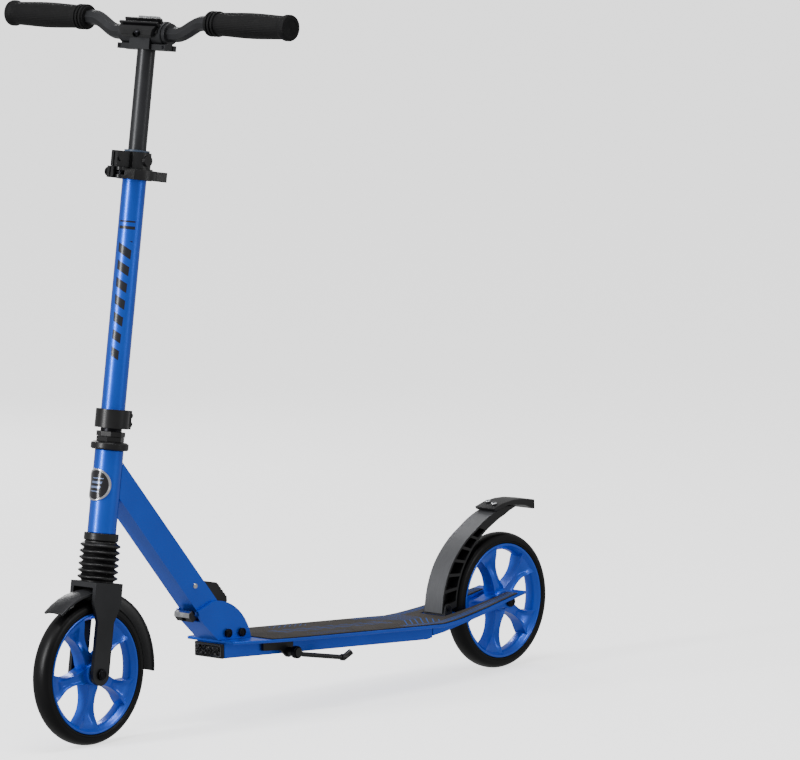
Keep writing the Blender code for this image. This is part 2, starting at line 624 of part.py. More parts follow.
def cross_bolt(piece, x, z, radius, half, head_r, head_t):
    """Join a bolt to a clamp: its shank crosses the ears, with a head on one side and a nut on the other."""
    profile = [(0, half + head_t), (head_r, half + head_t), (head_r, half), (radius, half),
               (radius, -half), (head_r * 0.9, -half), (head_r * 0.9, -half - head_t), (0, -half - head_t)]
    bolt = turned_mesh("bolt", profile, 10, axis="Y")
    bolt.transform(Matrix.Translation((x, 0, z)))
    return combine(piece, bolt, "UNION")


def column(steer):
    """What turns with the bars: steerer, stem tube, nuts and clamps."""
    shaft_way = SHAFT_R + RUN
    low = BELLOWS_TOP - 0.0080
    put("steerer_tube", turned_mesh("steerer_tube", ring(shaft_way, STEERER_R, low, CLAMP_BOTTOM + 0.004), 28,
                                    closed=True), STEEL, steer)
    grip = STEERER_R + GAP
    base = HEAD_TOP + 0.0118
    for name, sides, low, high in (("headset_nut", 6, base, base + 0.0066),
                                   ("headset_locknut", 8, base + 0.0069, NUT_TOP)):
        nut = put(name, rod_mesh(name, 0.0200, (0, 0, low), (0, 0, high), sides), BLACK_PLASTIC, steer)
        combine(nut, rod_mesh("bore", grip, (0, 0, 0), (0, 0, 1), 28))
    inner = STEM_R - STEM_WALL
    put("stem_tube", turned_mesh("stem_tube", ring(inner, STEM_R, CLAMP_BOTTOM + 0.0045, QR_TOP - 0.001), 32,
                                 closed=True), BLUE, steer)
    hold = STEM_R + GAP
    rear = math.pi
    lower = clamp("lower_clamp", steer, CLAMP_BOTTOM, CLAMP_TOP, hold, 0.0235, 0.0325, rear)
    span = CLAMP_TOP - CLAMP_BOTTOM
    for share in (0.27, 0.73):
        cross_bolt(lower, -0.0280, CLAMP_BOTTOM + span * share, 0.0024, 0.0055, 0.0042, 0.0030)
    quick_release(steer, hold)
    upper_collar(steer, hold)


def quick_release(steer, hold):
    """Height clamp, its cross pin, and the lever that wraps round the left side and swings out."""
    height = (QR_BOTTOM + QR_TOP) / 2
    body = clamp("qr_clamp", steer, QR_BOTTOM, QR_TOP, hold, 0.0238, 0.0495)
    combine(body, rod_mesh("pin_way", 0.0027, (QR_PIN_X, -0.1, height), (QR_PIN_X, 0.1, height), 14))
    face = QR_EAR_FACE + GAP
    barrel_y = -face - QR_BARREL_R
    profile = [(0, face + 0.0060), (0.0062, face + 0.0060), (0.0068, face + 0.0045), (0.0068, face),
               (0.0024, face), (0.0024, barrel_y), (0, barrel_y)]
    pin = put("qr_pin", turned_mesh("qr_pin", profile, 14, axis="Y"), STEEL, steer, (QR_PIN_X, 0, height))
    combine(pin, rod_mesh("pivot", QR_PIVOT_R, (0, barrel_y, -0.0078), (0, barrel_y, 0.0078), 14), "UNION")
    line = axis_point("qr_lever_axis", (QR_PIN_X, barrel_y, height), (0, 0, 0), steer)
    low, high = -0.0075, 0.0075
    lever = put("qr_lever", rod_mesh("qr_lever", QR_BARREL_R, (0, 0, low), (0, 0, high), 20), BLACK_PLASTIC, line)
    stem = (-QR_PIN_X, -barrel_y)
    wrap = 0.0300
    outer = arc(stem, wrap, 222, 320, 10)
    inner = arc(stem, wrap - 0.0050, 320, 216, 10)
    tip = [(stem[0] + x, stem[1] + y) for x, y in ((0.0410, -0.0220), (0.0440, -0.0180), (0.0380, -0.0150))]
    arm = [(0.0, -QR_BARREL_R + 0.0004)] + outer + tip + inner + [(0.0, QR_BARREL_R * 0.4)]
    combine(lever, outline_mesh("arm", arm, low, high - 0.0015, "XY"), "UNION")
    room = QR_BARREL_R + 0.0006
    combine(lever, rod_mesh("pin_room", room, (0, 0, -0.0030), (0, 0, 0.0030), 20))
    combine(lever, rod_mesh("pivot_way", QR_PIVOT_R + RUN, (0, 0, -0.1), (0, 0, 0.1), 14))


def upper_collar(steer, hold):
    """Collar with its own pinch bolt and a side boss, over the height clamp, and the liner in it."""
    bottom = QR_TOP + GAP
    liner_top = COLLAR_TOP + 0.0031
    collar = clamp("upper_collar", steer, bottom, COLLAR_TOP, POST_R + 0.0032, 0.0205, 0.0440)
    height = (bottom + COLLAR_TOP) / 2
    boss = rod_mesh("boss", 0.0075, (0, -0.0180, height), (0, -0.0240, height), 20)
    combine(collar, boss, "UNION")
    cross_bolt(collar, -0.0375, height, 0.0021, 0.0055, 0.0040, 0.0028)
    liner = [(POST_R + 0.0050, liner_top), (POST_R + 0.0050, COLLAR_TOP + GAP), (POST_R + 0.0029, COLLAR_TOP + GAP),
             (POST_R + 0.0029, QR_TOP - GAP), (POST_R + RUN, QR_TOP - GAP), (POST_R + RUN, liner_top)]
    put("post_bushing", turned_mesh("post_bushing", liner, 32, closed=True), BLUE, steer)


# ---------------------------------------------------------------- fork and front wheel
def fork(ride):
    """Crown and legs in one piece, mudguard, shaft, axle, coil spring and rubber bellows."""
    crown = [(-FORK_HALF_W, CROWN_TOP), (-FORK_HALF_W, 0.0), (-FORK_HALF_W + FORK_LEG_T, 0.0),
             (-FORK_HALF_W + FORK_LEG_T, CROWN_TOP - CROWN_T), (FORK_HALF_W - FORK_LEG_T, CROWN_TOP - CROWN_T),
             (FORK_HALF_W - FORK_LEG_T, 0.0), (FORK_HALF_W, 0.0), (FORK_HALF_W, CROWN_TOP)]
    crown = [(y, z - (0.03 if z == 0.0 else 0.0)) for y, z in crown]
    body = put("fork_crown", outline_mesh("fork_crown", crown, -CROWN_HALF_X, CROWN_HALF_X, "YZ"), DARK_METAL, ride)
    taper = 0.0240
    shoulder = CROWN_TOP - 0.0300
    side = [(CROWN_HALF_X + 0.01, CROWN_TOP + 0.01), (-CROWN_HALF_X - 0.01, CROWN_TOP + 0.01),
            (-CROWN_HALF_X - 0.01, shoulder), (-CROWN_HALF_X, shoulder), (-LEG_HALF_X, shoulder - taper)]
    side += arc((0, 0), LEG_HALF_X, 180, 360, 13)
    side += [(LEG_HALF_X, shoulder - taper), (CROWN_HALF_X, shoulder), (CROWN_HALF_X + 0.01, shoulder)]
    combine(body, outline_mesh("leg_outline", side, -0.05, 0.05), "INTERSECT")
    combine(body, rod_mesh("axle_way", AXLE_R + GAP, (0, -0.1, 0), (0, 0.1, 0), 24))
    shaft_top = HEAD_TOP - 0.030
    profile = [(0, shaft_top), (SHAFT_R, shaft_top), (SHAFT_R, CROWN_TOP + GAP), (0, CROWN_TOP + GAP)]
    put("fork_shaft", turned_mesh("fork_shaft", profile, 28), STEEL, ride)
    axle("front_axle", ride, FORK_HALF_W - FORK_LEG_T, FORK_LEG_T)
    mudguard(ride)
    suspension(ride)


def mudguard(ride):
    half, outer = GUARD_HALF_W, GUARD_R
    inner = outer - GUARD_T
    profile = [(inner - 0.0035, half - 0.0022), (inner - 0.0035, half), (outer - 0.0035, half),
               (outer - 0.0010, half * 0.55), (outer, 0.0), (outer - 0.0010, -half * 0.55),
               (outer - 0.0035, -half), (inner - 0.0035, -half), (inner - 0.0035, -half + 0.0022),
               (inner - 0.0014, -half * 0.5), (inner - 0.0006, 0.0), (inner - 0.0014, half * 0.5)]
    guard = put("front_mudguard", turned_mesh("front_mudguard", profile, 48, closed=True, axis="Y"), DARK_METAL,
                ride)
    lean = math.degrees(LEAN)
    first, last = -5 + lean, 127 + lean
    wedge = [(0.0, 0.0)] + arc((0, 0), 0.2, first, last, 9)
    combine(guard, outline_mesh("guard_sector", wedge, -0.1, 0.1), "INTERSECT")


def suspension(ride):
    """Coil spring round the shaft and the bellows over it, between the crown and the lower cup."""
    low, high = CROWN_TOP + GAP, BELLOWS_TOP - GAP
    folds = 6
    peak, valley, wall = 0.0280, 0.0226, 0.0012
    pitch = (high - low) / folds
    outside = [(valley - 0.001, high)]
    for number in range(folds):
        z = high - pitch * number
        outside += [(valley, z - pitch * 0.10), (peak, z - pitch * 0.50), (valley, z - pitch * 0.90)]
    outside += [(valley - 0.001, low)]
    inside = [(r - wall * 1.6, z) for r, z in reversed(outside)]
    put("bellows", turned_mesh("bellows", outside + inside, 18, closed=True), RUBBER, ride)
    turns, per_turn, wire = 5.5, 10, 0.0011
    top = BELLOWS_TOP - 0.0080 - 2 * GAP - wire
    count = int(turns * per_turn)
    coil = SHAFT_R + wire + 0.0020
    points = [(coil * math.cos(math.tau * i / per_turn), coil * math.sin(math.tau * i / per_turn),
               low + wire + GAP + (top - low - wire - GAP) * i / count) for i in range(count + 1)]
    put("front_spring", tube_mesh("front_spring", points, wire, 0), STEEL, ride)


# ---------------------------------------------------------------- handlebar
def handlebar(height):
    """Sliding post with its cross sleeve, the latch over it, and two bars that fold down."""
    middle = BAR_HEIGHT
    post_top = middle - 0.010
    post = [(0, post_top), (POST_R, post_top), (POST_R, POST_BOTTOM), (0, POST_BOTTOM)]
    put("t_bar_post", turned_mesh("t_bar_post", post, 32), DARK_METAL, height)
    edge = 0.0010
    half = [(SLEEVE_R, SLEEVE_HALF_L - edge), (SLEEVE_R - edge, SLEEVE_HALF_L), (0, SLEEVE_HALF_L)]
    sleeve = put("bar_sleeve", turned_mesh("bar_sleeve", both_ends(half), 24, axis="Y"), BLACK_PLASTIC, height,
                 (0, 0, middle))
    socket = box_mesh("socket", (-0.0158, -0.0190, -0.0230), (0.0158, 0.0190, 0.0))
    combine(sleeve, socket, "UNION")
    for sign in SIDES.values():
        faces = sorted((sign * 0.0180, sign * (SLEEVE_HALF_L + 0.0075)))
        lip = box_mesh("lip", (-0.0115, faces[0], -HINGE_DROP - 0.0042), (0.0115, faces[1], -HINGE_DROP + 0.0036))
        combine(sleeve, lip, "UNION")
        ear_room = sorted((sign * (SLEEVE_HALF_L - 0.0040), sign * (SLEEVE_HALF_L + 0.02)))
        combine(sleeve, box_mesh("ear_room", (-0.0056, ear_room[0], -HINGE_DROP - 0.02),
                                 (0.0056, ear_room[1], -HINGE_DROP + 0.0051)))
        pin_y = sign * PIN_Y
        combine(sleeve, rod_mesh("pin_way", 0.0025, (-0.05, pin_y, -HINGE_DROP), (0.05, pin_y, -HINGE_DROP), 12))
    combine(sleeve, rod_mesh("post_way", POST_R + GAP, (0, 0, -0.05), (0, 0, -0.0100 + GAP), 32))
    for side_name, sign in SIDES.items():
        bar(side_name, sign, height)
    latch(height)


def bar(side_name, sign, height):
    """One bar with its flange, hinge ear and grip, on the hinge pin's line."""
    pin = axis_point(f"bar_{side_name}_axis", (0, sign * PIN_Y, BAR_HEIGHT - HINGE_DROP), (0, 0, 0), height)
    put(f"hinge_pin_{side_name}", rod_mesh("hinge_pin", 0.0022, (-0.0118, 0, 0), (0.0118, 0, 0), 12), STEEL, height,
        (0, sign * PIN_Y, BAR_HEIGHT - HINGE_DROP))
    start = SLEEVE_HALF_L + GAP - PIN_Y
    bend_from, bend_to = 0.0560, 0.1040
    end = BAR_HALF_SPAN - 0.0040 - PIN_Y
    route = [(0, sign * (start + 0.002), HINGE_DROP), (0, sign * (bend_from - PIN_Y), HINGE_DROP)]
    for number in range(1, 9):
        share = number / 8
        rise = BAR_RISE * (1 - math.cos(math.pi * share)) / 2
        route.append((0, sign * (bend_from + (bend_to - bend_from) * share - PIN_Y), HINGE_DROP + rise))
    route.append((0, sign * end, HINGE_DROP + BAR_RISE))
    tube = put(f"bar_{side_name}", tube_mesh("bar", route, BAR_R, 2), DARK_METAL, pin)
    flange = rod_mesh("flange", 0.0150, (0, sign * start, HINGE_DROP), (0, sign * (start + 0.0060), HINGE_DROP), 24)
    combine(tube, flange, "UNION")
    ear_y = sorted((sign * start, sign * (start + 0.0060)))
    combine(tube, box_mesh("ear", (-0.0050, ear_y[0], -0.0040), (0.0050, ear_y[1], HINGE_DROP - 0.008)), "UNION")
    combine(tube, rod_mesh("pin_way", 0.0022 + RUN, (-0.05, 0, 0), (0.05, 0, 0), 12))

    low, high = GRIP_START - PIN_Y, BAR_HALF_SPAN - PIN_Y
    hole = BAR_R + GAP
    length = high - low
    profile = [(0.0, high), (0.0150, high), (0.0178, high - 0.0020), (0.0178, high - 0.0060),
               (GRIP_R, high - 0.0110), (GRIP_R + 0.0006, low + length * 0.55), (GRIP_R, low + length * 0.22)]
    for number in range(3):
        ring_y = low + 0.0160 - 0.0060 * number
        profile += [(GRIP_R - 0.0006, ring_y + 0.0030), (GRIP_R + 0.0012, ring_y + 0.0015),
                    (GRIP_R + 0.0012, ring_y - 0.0010), (GRIP_R - 0.0006, ring_y - 0.0020)]
    profile += [(0.0150, low), (hole, low), (hole, end + GAP), (0.0, end + GAP)]
    mesh = turned_mesh("grip", profile, 16, axis="Y")
    if sign < 0:
        mesh.transform(Matrix.Rotation(math.pi, 4, "X"))
    put(f"grip_{side_name}", mesh, RUBBER, pin, (0, 0, HINGE_DROP + BAR_RISE))


def latch(height):
    """Saddle latch over the sleeve, hinged at its rear edge: lift its front skirt to free the bars."""
    reach = SLEEVE_R + 0.0006
    outer = reach + 0.0034
    line = axis_point("bar_latch_axis", (LATCH_X, 0, BAR_HEIGHT + LATCH_Z), (0, 0, 0), height)
    around = arc((-LATCH_X, -LATCH_Z), outer, 28, 200, 14) + arc((-LATCH_X, -LATCH_Z), reach, 200, 28, 14)
    width = SLEEVE_HALF_L - 0.0010
    cover = put("bar_latch", outline_mesh("bar_latch", around, -width, width), BLACK_PLASTIC, line)
    skirt = [(-outer + 0.0020, 0.0), (-outer - 0.0040, -0.0150), (-outer - 0.0010, -0.0170),
             (-reach - 0.0004, -0.0040)]
    skirt = [(x - LATCH_X, z - LATCH_Z) for x, z in skirt]
    combine(cover, outline_mesh("skirt", skirt, -width * 0.86, width * 0.86), "UNION")
    lift = outer + GAP
    tilt = math.radians(-32)
    head = [(0, 0.0064), (0.0046, 0.0060), (0.0058, 0.0040), (0.0058, 0), (0, 0)]
    place = (math.sin(tilt) * lift - LATCH_X, -0.0120, math.cos(tilt) * lift - LATCH_Z)
    put("latch_bolt", turned_mesh("latch_bolt", head, 16), STEEL, line, place, (0, tilt, 0))


# ---------------------------------------------------------------- brake and kickstand
def fender_point(angle, radius):
    """A point in the side view, by angle and distance from the rear axle."""
    turn = math.radians(angle)
    return REAR_AXLE.x + radius * math.cos(turn), REAR_AXLE.z + radius * math.sin(turn)


def between(table, angle):
    """Smooth value between listed (angle, value) pairs."""
    for (a, p), (b, q) in zip(table, table[1:]):
        if b <= angle <= a:
            share = (a - angle) / (a - b)
            return p + (q - p) * share
    return table[0][1] if angle > table[0][0] else table[-1][1]


def brake_fender(line):
    """Arched brake: outer wall, inner wall that presses on the tyre, and slanted ribs between them."""
    inner_r = WHEEL_R + BRAKE_GAP
    first, last, heel = 181.0, 80.0, 3.0
    count = 21
    angles = [first + (last - first) * i / (count - 1) for i in range(count)]
    outer = [fender_point(a, WHEEL_R + between(FENDER_OUT, a)) for a in angles]
    inner = [fender_point(a, inner_r + between(FENDER_IN, a)) for a in reversed([first - heel] + angles[1:])]
    here = [(x - line.location.x, z - line.location.z) for x, z in outer + inner]
    body = put("brake_fender", outline_mesh("brake_fender", here, -FENDER_HALF_W, FENDER_HALF_W), DARK_METAL, line)
    web = 0.0015
    for number in range(FENDER_CELLS):
        a0 = first - 3.5 - number * 10.6
        a1 = a0 - 8.4
        lead = 4.0
        corners = []
        for a in (a0, (a0 + a1) / 2, a1):
            corners.append(fender_point(a, WHEEL_R + between(FENDER_OUT, a) - FENDER_WALL))
        for a in (a1 - lead, (a0 + a1) / 2 - lead, a0 - lead):
            corners.append(fender_point(a, inner_r + between(FENDER_IN, a) + FENDER_WALL))
        cell = [(x - line.location.x, z - line.location.z) for x, z in corners]
        for sign in SIDES.values():
            faces = sorted((sign * web, sign * (FENDER_HALF_W + 0.01)))
            combine(body, outline_mesh("cell", cell, *faces))
    combine(body, rod_mesh("hinge_way", BRAKE_PIN_R + RUN, (0, -0.1, 0), (0, 0.1, 0), 20))
    pedal(line)


def pedal(line):
    """Foot pad on the fender's top end, held by two screws."""
    front, rear = 0.4000, PEDAL_END
    top = [(front, 0.2362), (0.4200, 0.2420), (0.4440, 0.2448), (0.4640, 0.2444), (rear, 0.2404)]
    under = [(rear + 0.0005, 0.2270), (rear - 0.0030, 0.2268), (0.4700, 0.2344), (0.4350, 0.2382),
             (front + 0.004, 0.2318)]
    here = [(x - line.location.x, z - line.location.z + PEDAL_LIFT) for x, z in top + under]
    pad = put("brake_pedal", outline_mesh("brake_pedal", here, -PEDAL_HALF_W, PEDAL_HALF_W), BLACK_PLASTIC, line)
    soften(pad, 0.0010)


def brake(line):
    """Fender and pedal on a pin across the foot, held by two lugs that stand on the deck."""
    brake_fender(line)
    x, z = line.location.x, line.location.z
    low, high = FENDER_HALF_W + GAP, FENDER_HALF_W + GAP + 0.0032
    half = 0.0085
    ends = [(x + half, deck_top(x + half) + GAP), (x - half, deck_top(x - half) + GAP)]
    side_view = [ends[0]] + arc((x, z), 0.0065, 10, 170, 8) + [ends[1]]
    mount = put("brake_mount", outline_mesh("brake_mount", side_view, -high, high), DARK_METAL)
    base = 0.0012
    above = [(px + sign * 0.01, pz + base) for (px, pz), sign in zip(ends, (1, -1))]
    room = [above[0], (above[0][0], z + 0.02), (above[1][0], z + 0.02), above[1]]
    combine(mount, outline_mesh("foot_room", room, -low, low))
    combine(mount, rod_mesh("pin_way", BRAKE_PIN_R + GAP, (x, -0.1, z), (x, 0.1, z), 20))
    end = high + GAP
    head = [(BRAKE_PIN_R, end), (0.0046, end), (0.0046, end + 0.0012), (0.0, end + 0.0012)]
    put("brake_pin", turned_mesh("brake_pin", both_ends(head), 14, axis="Y"), STEEL, None, line.location)


def kickstand():
    """Prop on the left side of the beam, stowed along it, swinging down about a cross pin."""
    inner = -BEAM_HALF_W - GAP
    top = deck_top(STAND_X - 0.0215) - PLATE_T - GAP - 0.0034
    plate = [(STAND_X - 0.0530, deck_top(STAND_X - 0.0530) - PLATE_T - 2 * GAP),
             (STAND_X - 0.0530, top - 0.0090), (STAND_X - 0.0180, top - 0.0120)]
    plate += arc((STAND_X, STAND_Z), 0.0085, 215, 360, 9)
    plate += [(STAND_X + 0.0085, deck_top(STAND_X + 0.0085) - PLATE_T - 2 * GAP)]
    mount = put("kickstand_bracket", outline_mesh("kickstand_bracket", plate, inner - 0.0040, inner), BLACK_PLASTIC)
    boss = rod_mesh("boss", 0.0062, (STAND_X, inner - 0.002, STAND_Z), (STAND_X, inner - 0.0130, STAND_Z), 18)
    combine(mount, boss, "UNION")
    face = inner - 0.0130 - GAP
    line = axis_point("kickstand_axis", (STAND_X, face, STAND_Z))
    hub = put("kickstand_leg", rod_mesh("kickstand_leg", 0.0068, (0, 0, 0), (0, -0.0095, 0), 18), BLACK_PLASTIC,
              line)
    knee = (0.0120, -0.0060, -0.0045)
    ankle = (STAND_LEG, -0.0200, -0.0150)
    combine(hub, tube_mesh("leg", [(0.0, -0.0048, 0.0), knee, ankle], STAND_R, 2), "UNION")
    along = (Vector(ankle) - Vector(knee)).normalized()
    toe = Vector(ankle) + along * GAP
    bend = toe + along * 0.0060
    foot = put("kickstand_foot", rod_mesh("kickstand_foot", 0.0048, toe, bend, 12), RUBBER, line)
    combine(foot, rod_mesh("kick", 0.0045, bend - along * 0.0012, bend + Vector((0.0100, -0.0035, 0.0075)), 12),
            "UNION")


# ---------------------------------------------------------------- the whole scooter
def scooter():
    deck()
    bracket()
    lock_bar()
    fold = axis_point("fold_axis", PIVOT)
    tube_line = axis_point("tube_line", (0, 0, 0), (0, TUBE_SLOPE - math.radians(90), 0), fold)
    steer = axis_point("steering_axis", FRONT_AXLE - PIVOT, (0, LEAN, 0), fold)
    neck(fold, steer, tube_line)
    fold_lever(tube_line)
    column(steer)
    ride = axis_point("suspension_axis", (0, 0, 0), (0, 0, 0), steer)
    fork(ride)
    wheel("front", axis_point("front_wheel_axis", (0, 0, 0), (0, 0, 0), ride), FRONT_SPOKE + math.degrees(LEAN))
    wheel("rear", axis_point("rear_wheel_axis", REAR_AXLE), REAR_SPOKE)
    height = axis_point("height_axis", (0, 0, 0), (0, 0, 0), steer)
    handlebar(height)
    foot_x = FENDER_X + FENDER_FOOT * 0.30
    brake(axis_point("brake_axis", (foot_x, 0, deck_top(foot_x) + BRAKE_PIN_UP)))
    kickstand()


scooter()
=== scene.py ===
"""Finishes and fine detail of a folding kick scooter with big wheels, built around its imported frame."""

import json
import math

import bmesh
import bpy
from mathutils import Matrix, Vector


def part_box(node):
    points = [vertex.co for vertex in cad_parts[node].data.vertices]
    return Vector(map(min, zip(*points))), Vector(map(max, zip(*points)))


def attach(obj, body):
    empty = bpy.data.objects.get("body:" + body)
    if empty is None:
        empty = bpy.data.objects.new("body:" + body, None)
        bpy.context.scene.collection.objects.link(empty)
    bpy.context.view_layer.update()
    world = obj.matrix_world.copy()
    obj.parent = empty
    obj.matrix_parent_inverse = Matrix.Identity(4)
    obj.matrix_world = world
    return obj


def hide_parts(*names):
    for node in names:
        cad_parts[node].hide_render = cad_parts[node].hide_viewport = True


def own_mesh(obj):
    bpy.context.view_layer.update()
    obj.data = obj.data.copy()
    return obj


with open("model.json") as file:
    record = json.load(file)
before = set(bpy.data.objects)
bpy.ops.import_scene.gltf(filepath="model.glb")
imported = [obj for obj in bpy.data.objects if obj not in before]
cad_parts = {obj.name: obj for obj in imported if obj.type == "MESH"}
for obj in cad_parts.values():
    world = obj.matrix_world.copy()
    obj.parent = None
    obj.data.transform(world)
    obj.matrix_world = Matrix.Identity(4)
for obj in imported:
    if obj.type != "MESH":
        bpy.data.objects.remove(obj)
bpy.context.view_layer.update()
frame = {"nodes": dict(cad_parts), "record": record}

# ---------------------------------------------------------------- camera, floor and light
# A long lens at eye height, from ahead of the scooter on its left side, over a pale studio floor. A soft
# box hangs overhead, a tall one stands ahead, a weak one fills from the left, and a strip lights the edges.
lens_azimuth = math.radians(-48.12)
lens_elevation = math.radians(6.84)
lens_roll = math.radians(-0.41)
lens_distance = 9.5887
lens_aim = Vector((0.0579, -0.1447, 0.4775))
lens_back = Vector((
    math.sin(lens_azimuth) * math.cos(lens_elevation),
    -math.cos(lens_azimuth) * math.cos(lens_elevation),
    math.sin(lens_elevation),
))
camera_data = bpy.data.cameras.new("studio_camera")
camera_data.sensor_width = 36.0
camera_data.lens = 307.3
camera_data.shift_x = -0.0006
camera_data.shift_y = -0.0069
camera_data.clip_end = 100.0
camera = bpy.data.objects.new("studio_camera", camera_data)
bpy.context.scene.collection.objects.link(camera)
camera.rotation_mode = "QUATERNION"
camera.rotation_quaternion = (
    (-lens_back).to_track_quat("-Z", "Y") @ Matrix.Rotation(lens_roll, 3, "Z").to_quaternion()
)
camera.location = lens_aim + lens_back * lens_distance
bpy.context.scene.camera = camera


def soft_box(name, place, aim, width, height, power):
    lamp = bpy.data.lights.new(name, "AREA")
    lamp.shape = "RECTANGLE"
    lamp.size = width
    lamp.size_y = height
    lamp.energy = power
    box = bpy.data.objects.new(name, lamp)
    bpy.context.scene.collection.objects.link(box)
    box.location = place
    box.rotation_mode = "QUATERNION"
    box.rotation_quaternion = (Vector(aim) - Vector(place)).to_track_quat("-Z", "Y")


soft_box("top_box", (-0.5, -0.5, 3.2), (0.0, 0.0, 0.3), 1.6, 1.2, 52.0)
soft_box("front_box", (-3.2, 0.6, 1.6), (0.0, 0.0, 0.5), 0.50, 2.2, 95.0)
soft_box("side_box", (1.4, -3.6, 1.3), (0.1, 0.0, 0.3), 0.8, 1.0, 20.0)
soft_box("edge_strip", (1.6, 2.6, 1.6), (0.0, 0.0, 0.5), 0.3, 1.8, 16.0)

world = bpy.data.worlds.new("pale_studio")
world.use_nodes = True
sky = world.node_tree.nodes["Background"]
sky.inputs["Color"].default_value = (1.0, 1.0, 1.0, 1.0)
backdrop_light, object_light = 2.5, 0.42
seen = world.node_tree.nodes.new("ShaderNodeLightPath")
choice = world.node_tree.nodes.new("ShaderNodeMapRange")
choice.inputs["To Min"].default_value = object_light
choice.inputs["To Max"].default_value = backdrop_light
world.node_tree.links.new(seen.outputs["Is Camera Ray"], choice.inputs["Value"])
world.node_tree.links.new(choice.outputs["Result"], sky.inputs["Strength"])
bpy.context.scene.world = world


class Wire:
    """The output of one node, so that masks and patterns read as ordinary sums."""

    def __init__(self, finish, socket):
        self.finish = finish
        self.socket = socket

    def sum(self, operation, *values):
        return self.finish.node("Math", {"operation": operation}, *values)

    def __add__(self, other):
        return self.sum("ADD", self, other)

    __radd__ = __add__

    def __sub__(self, other):
        return self.sum("SUBTRACT", self, other)

    def __rsub__(self, other):
        return self.sum("SUBTRACT", other, self)

    def __mul__(self, other):
        return self.sum("MULTIPLY", self, other)

    __rmul__ = __mul__

    def __truediv__(self, other):
        return self.sum("DIVIDE", self, other)

    def __mod__(self, other):
        return self.sum("FLOORED_MODULO", self, other)

    def __gt__(self, other):
        return self.sum("GREATER_THAN", self, other)

    def __lt__(self, other):
        return self.sum("LESS_THAN", self, other)

    def __abs__(self):
        return self.sum("ABSOLUTE", self)


class Finish:
    """One surface finish: its material, and the nodes that make it."""

    def __init__(self, name, **sockets):
        self.material = bpy.data.materials.new(name)
        self.material.use_nodes = True
        self.tree = self.material.node_tree
        self.shader = self.tree.nodes["Principled BSDF"]
        self.surface(**sockets)

    def node(self, kind, settings, *values, **named):
        made = self.tree.nodes.new("ShaderNode" + kind)
        settings = dict(settings)
        output = settings.pop("output", 0)
        for setting, value in settings.items():
            setattr(made, setting, value)
        for socket, value in list(enumerate(values)) + list(named.items()):
            self.feed(made.inputs[socket], value)
        return Wire(self, made.outputs[output])

    def feed(self, socket, value):
        if isinstance(value, Wire):
            self.tree.links.new(value.socket, socket)
        else:
            socket.default_value = value

    def surface(self, **sockets):
        for socket, value in sockets.items():
            if isinstance(value, tuple) and len(value) == 3:
                value = (*value, 1.0)
            words = "Specular IOR Level" if socket == "specular" else socket.replace("_", " ").title()
            self.feed(self.shader.inputs[words], value)

    def place(self):
        return self.node("TexCoord", {"output": "Object"})

    def parts(self, vector):
        split = self.node("SeparateXYZ", {}, vector).socket.node
        return [Wire(self, output) for output in split.outputs]

    def noise(self, scale, detail=2.0):
        return self.node("TexNoise", {}, Vector=self.place(), Scale=scale, Detail=detail)

    def away_from(self, origin):
        """X, Y and Z from an origin."""
        return self.parts(self.node("VectorMath", {"operation": "SUBTRACT"}, self.place(), tuple(origin)))

    def root(self, value):
        return self.node("Math", {"operation": "SQRT"}, value)

    def tint(self, mask, dark, light):
        """Colour that goes from dark to light as the mask goes from 0 to 1."""
        made = self.node("Mix", {"data_type": "RGBA", "output": 2}, mask).socket.node
        for socket, value in ((made.inputs[6], dark), (made.inputs[7], light)):
            self.feed(socket, (*value, 1.0) if isinstance(value, tuple) else value)
        return Wire(self, made.outputs[2])

    def between(self, value, low, high, start=0.0, end=1.0, smooth="LINEAR"):
        return self.node("MapRange", {"interpolation_type": smooth}, value, low, high, start, end)

    def dot(self, vector, origin, direction):
        """Distance of a point from an origin along a direction."""
        moved = self.node("VectorMath", {"operation": "SUBTRACT"}, vector, tuple(origin))
        return self.node("VectorMath", {"operation": "DOT_PRODUCT", "output": 1}, moved, tuple(direction))

    def bump(self, height, distance, strength=1.0):
        made = self.node("Bump", {}, Strength=strength, Distance=distance, Height=height)
        self.surface(normal=made)


paper = Finish("floor_paper", roughness=0.95, specular=0.1)
paper.surface(base_color=paper.tint(paper.noise(3.0, 3.0), (0.90, 0.90, 0.91), (0.93, 0.93, 0.935)),
              emission_color=(1.0, 1.0, 1.0), emission_strength=1.5)
bpy.ops.mesh.primitive_plane_add(size=60.0)
floor = bpy.context.object
floor.name = "studio_floor"
floor.data.materials.append(paper.material)
floor.visible_diffuse = False
floor.visible_glossy = False

# ---------------------------------------------------------------- blue metallic paint: tubes, deck and rims
# The aluminium tubes and the deck are wet-sprayed: a silver-flecked blue base coat under clear lacquer,
# with a faint orange peel. Broad soft variation and finer flake change its colour and roughness.


def blue_paint(name):
    paint = Finish(name, metallic=0.68, coat_weight=0.22, coat_roughness=0.08)
    flake = paint.noise(2600.0, 1.0)
    cloud = paint.noise(9.0, 3.0)
    mixed = flake * 0.55 + cloud * 0.45
    blue = paint.tint(paint.between(mixed, 0.36, 0.66), (0.012, 0.084, 0.600), (0.022, 0.132, 0.860))
    paint.surface(roughness=paint.between(flake, 0.3, 0.7, 0.28, 0.40))
    paint.bump(paint.noise(420.0, 1.0), 0.00004, 0.35)
    return paint, blue


paint, blue = blue_paint("blue_paint")
paint.surface(base_color=blue)


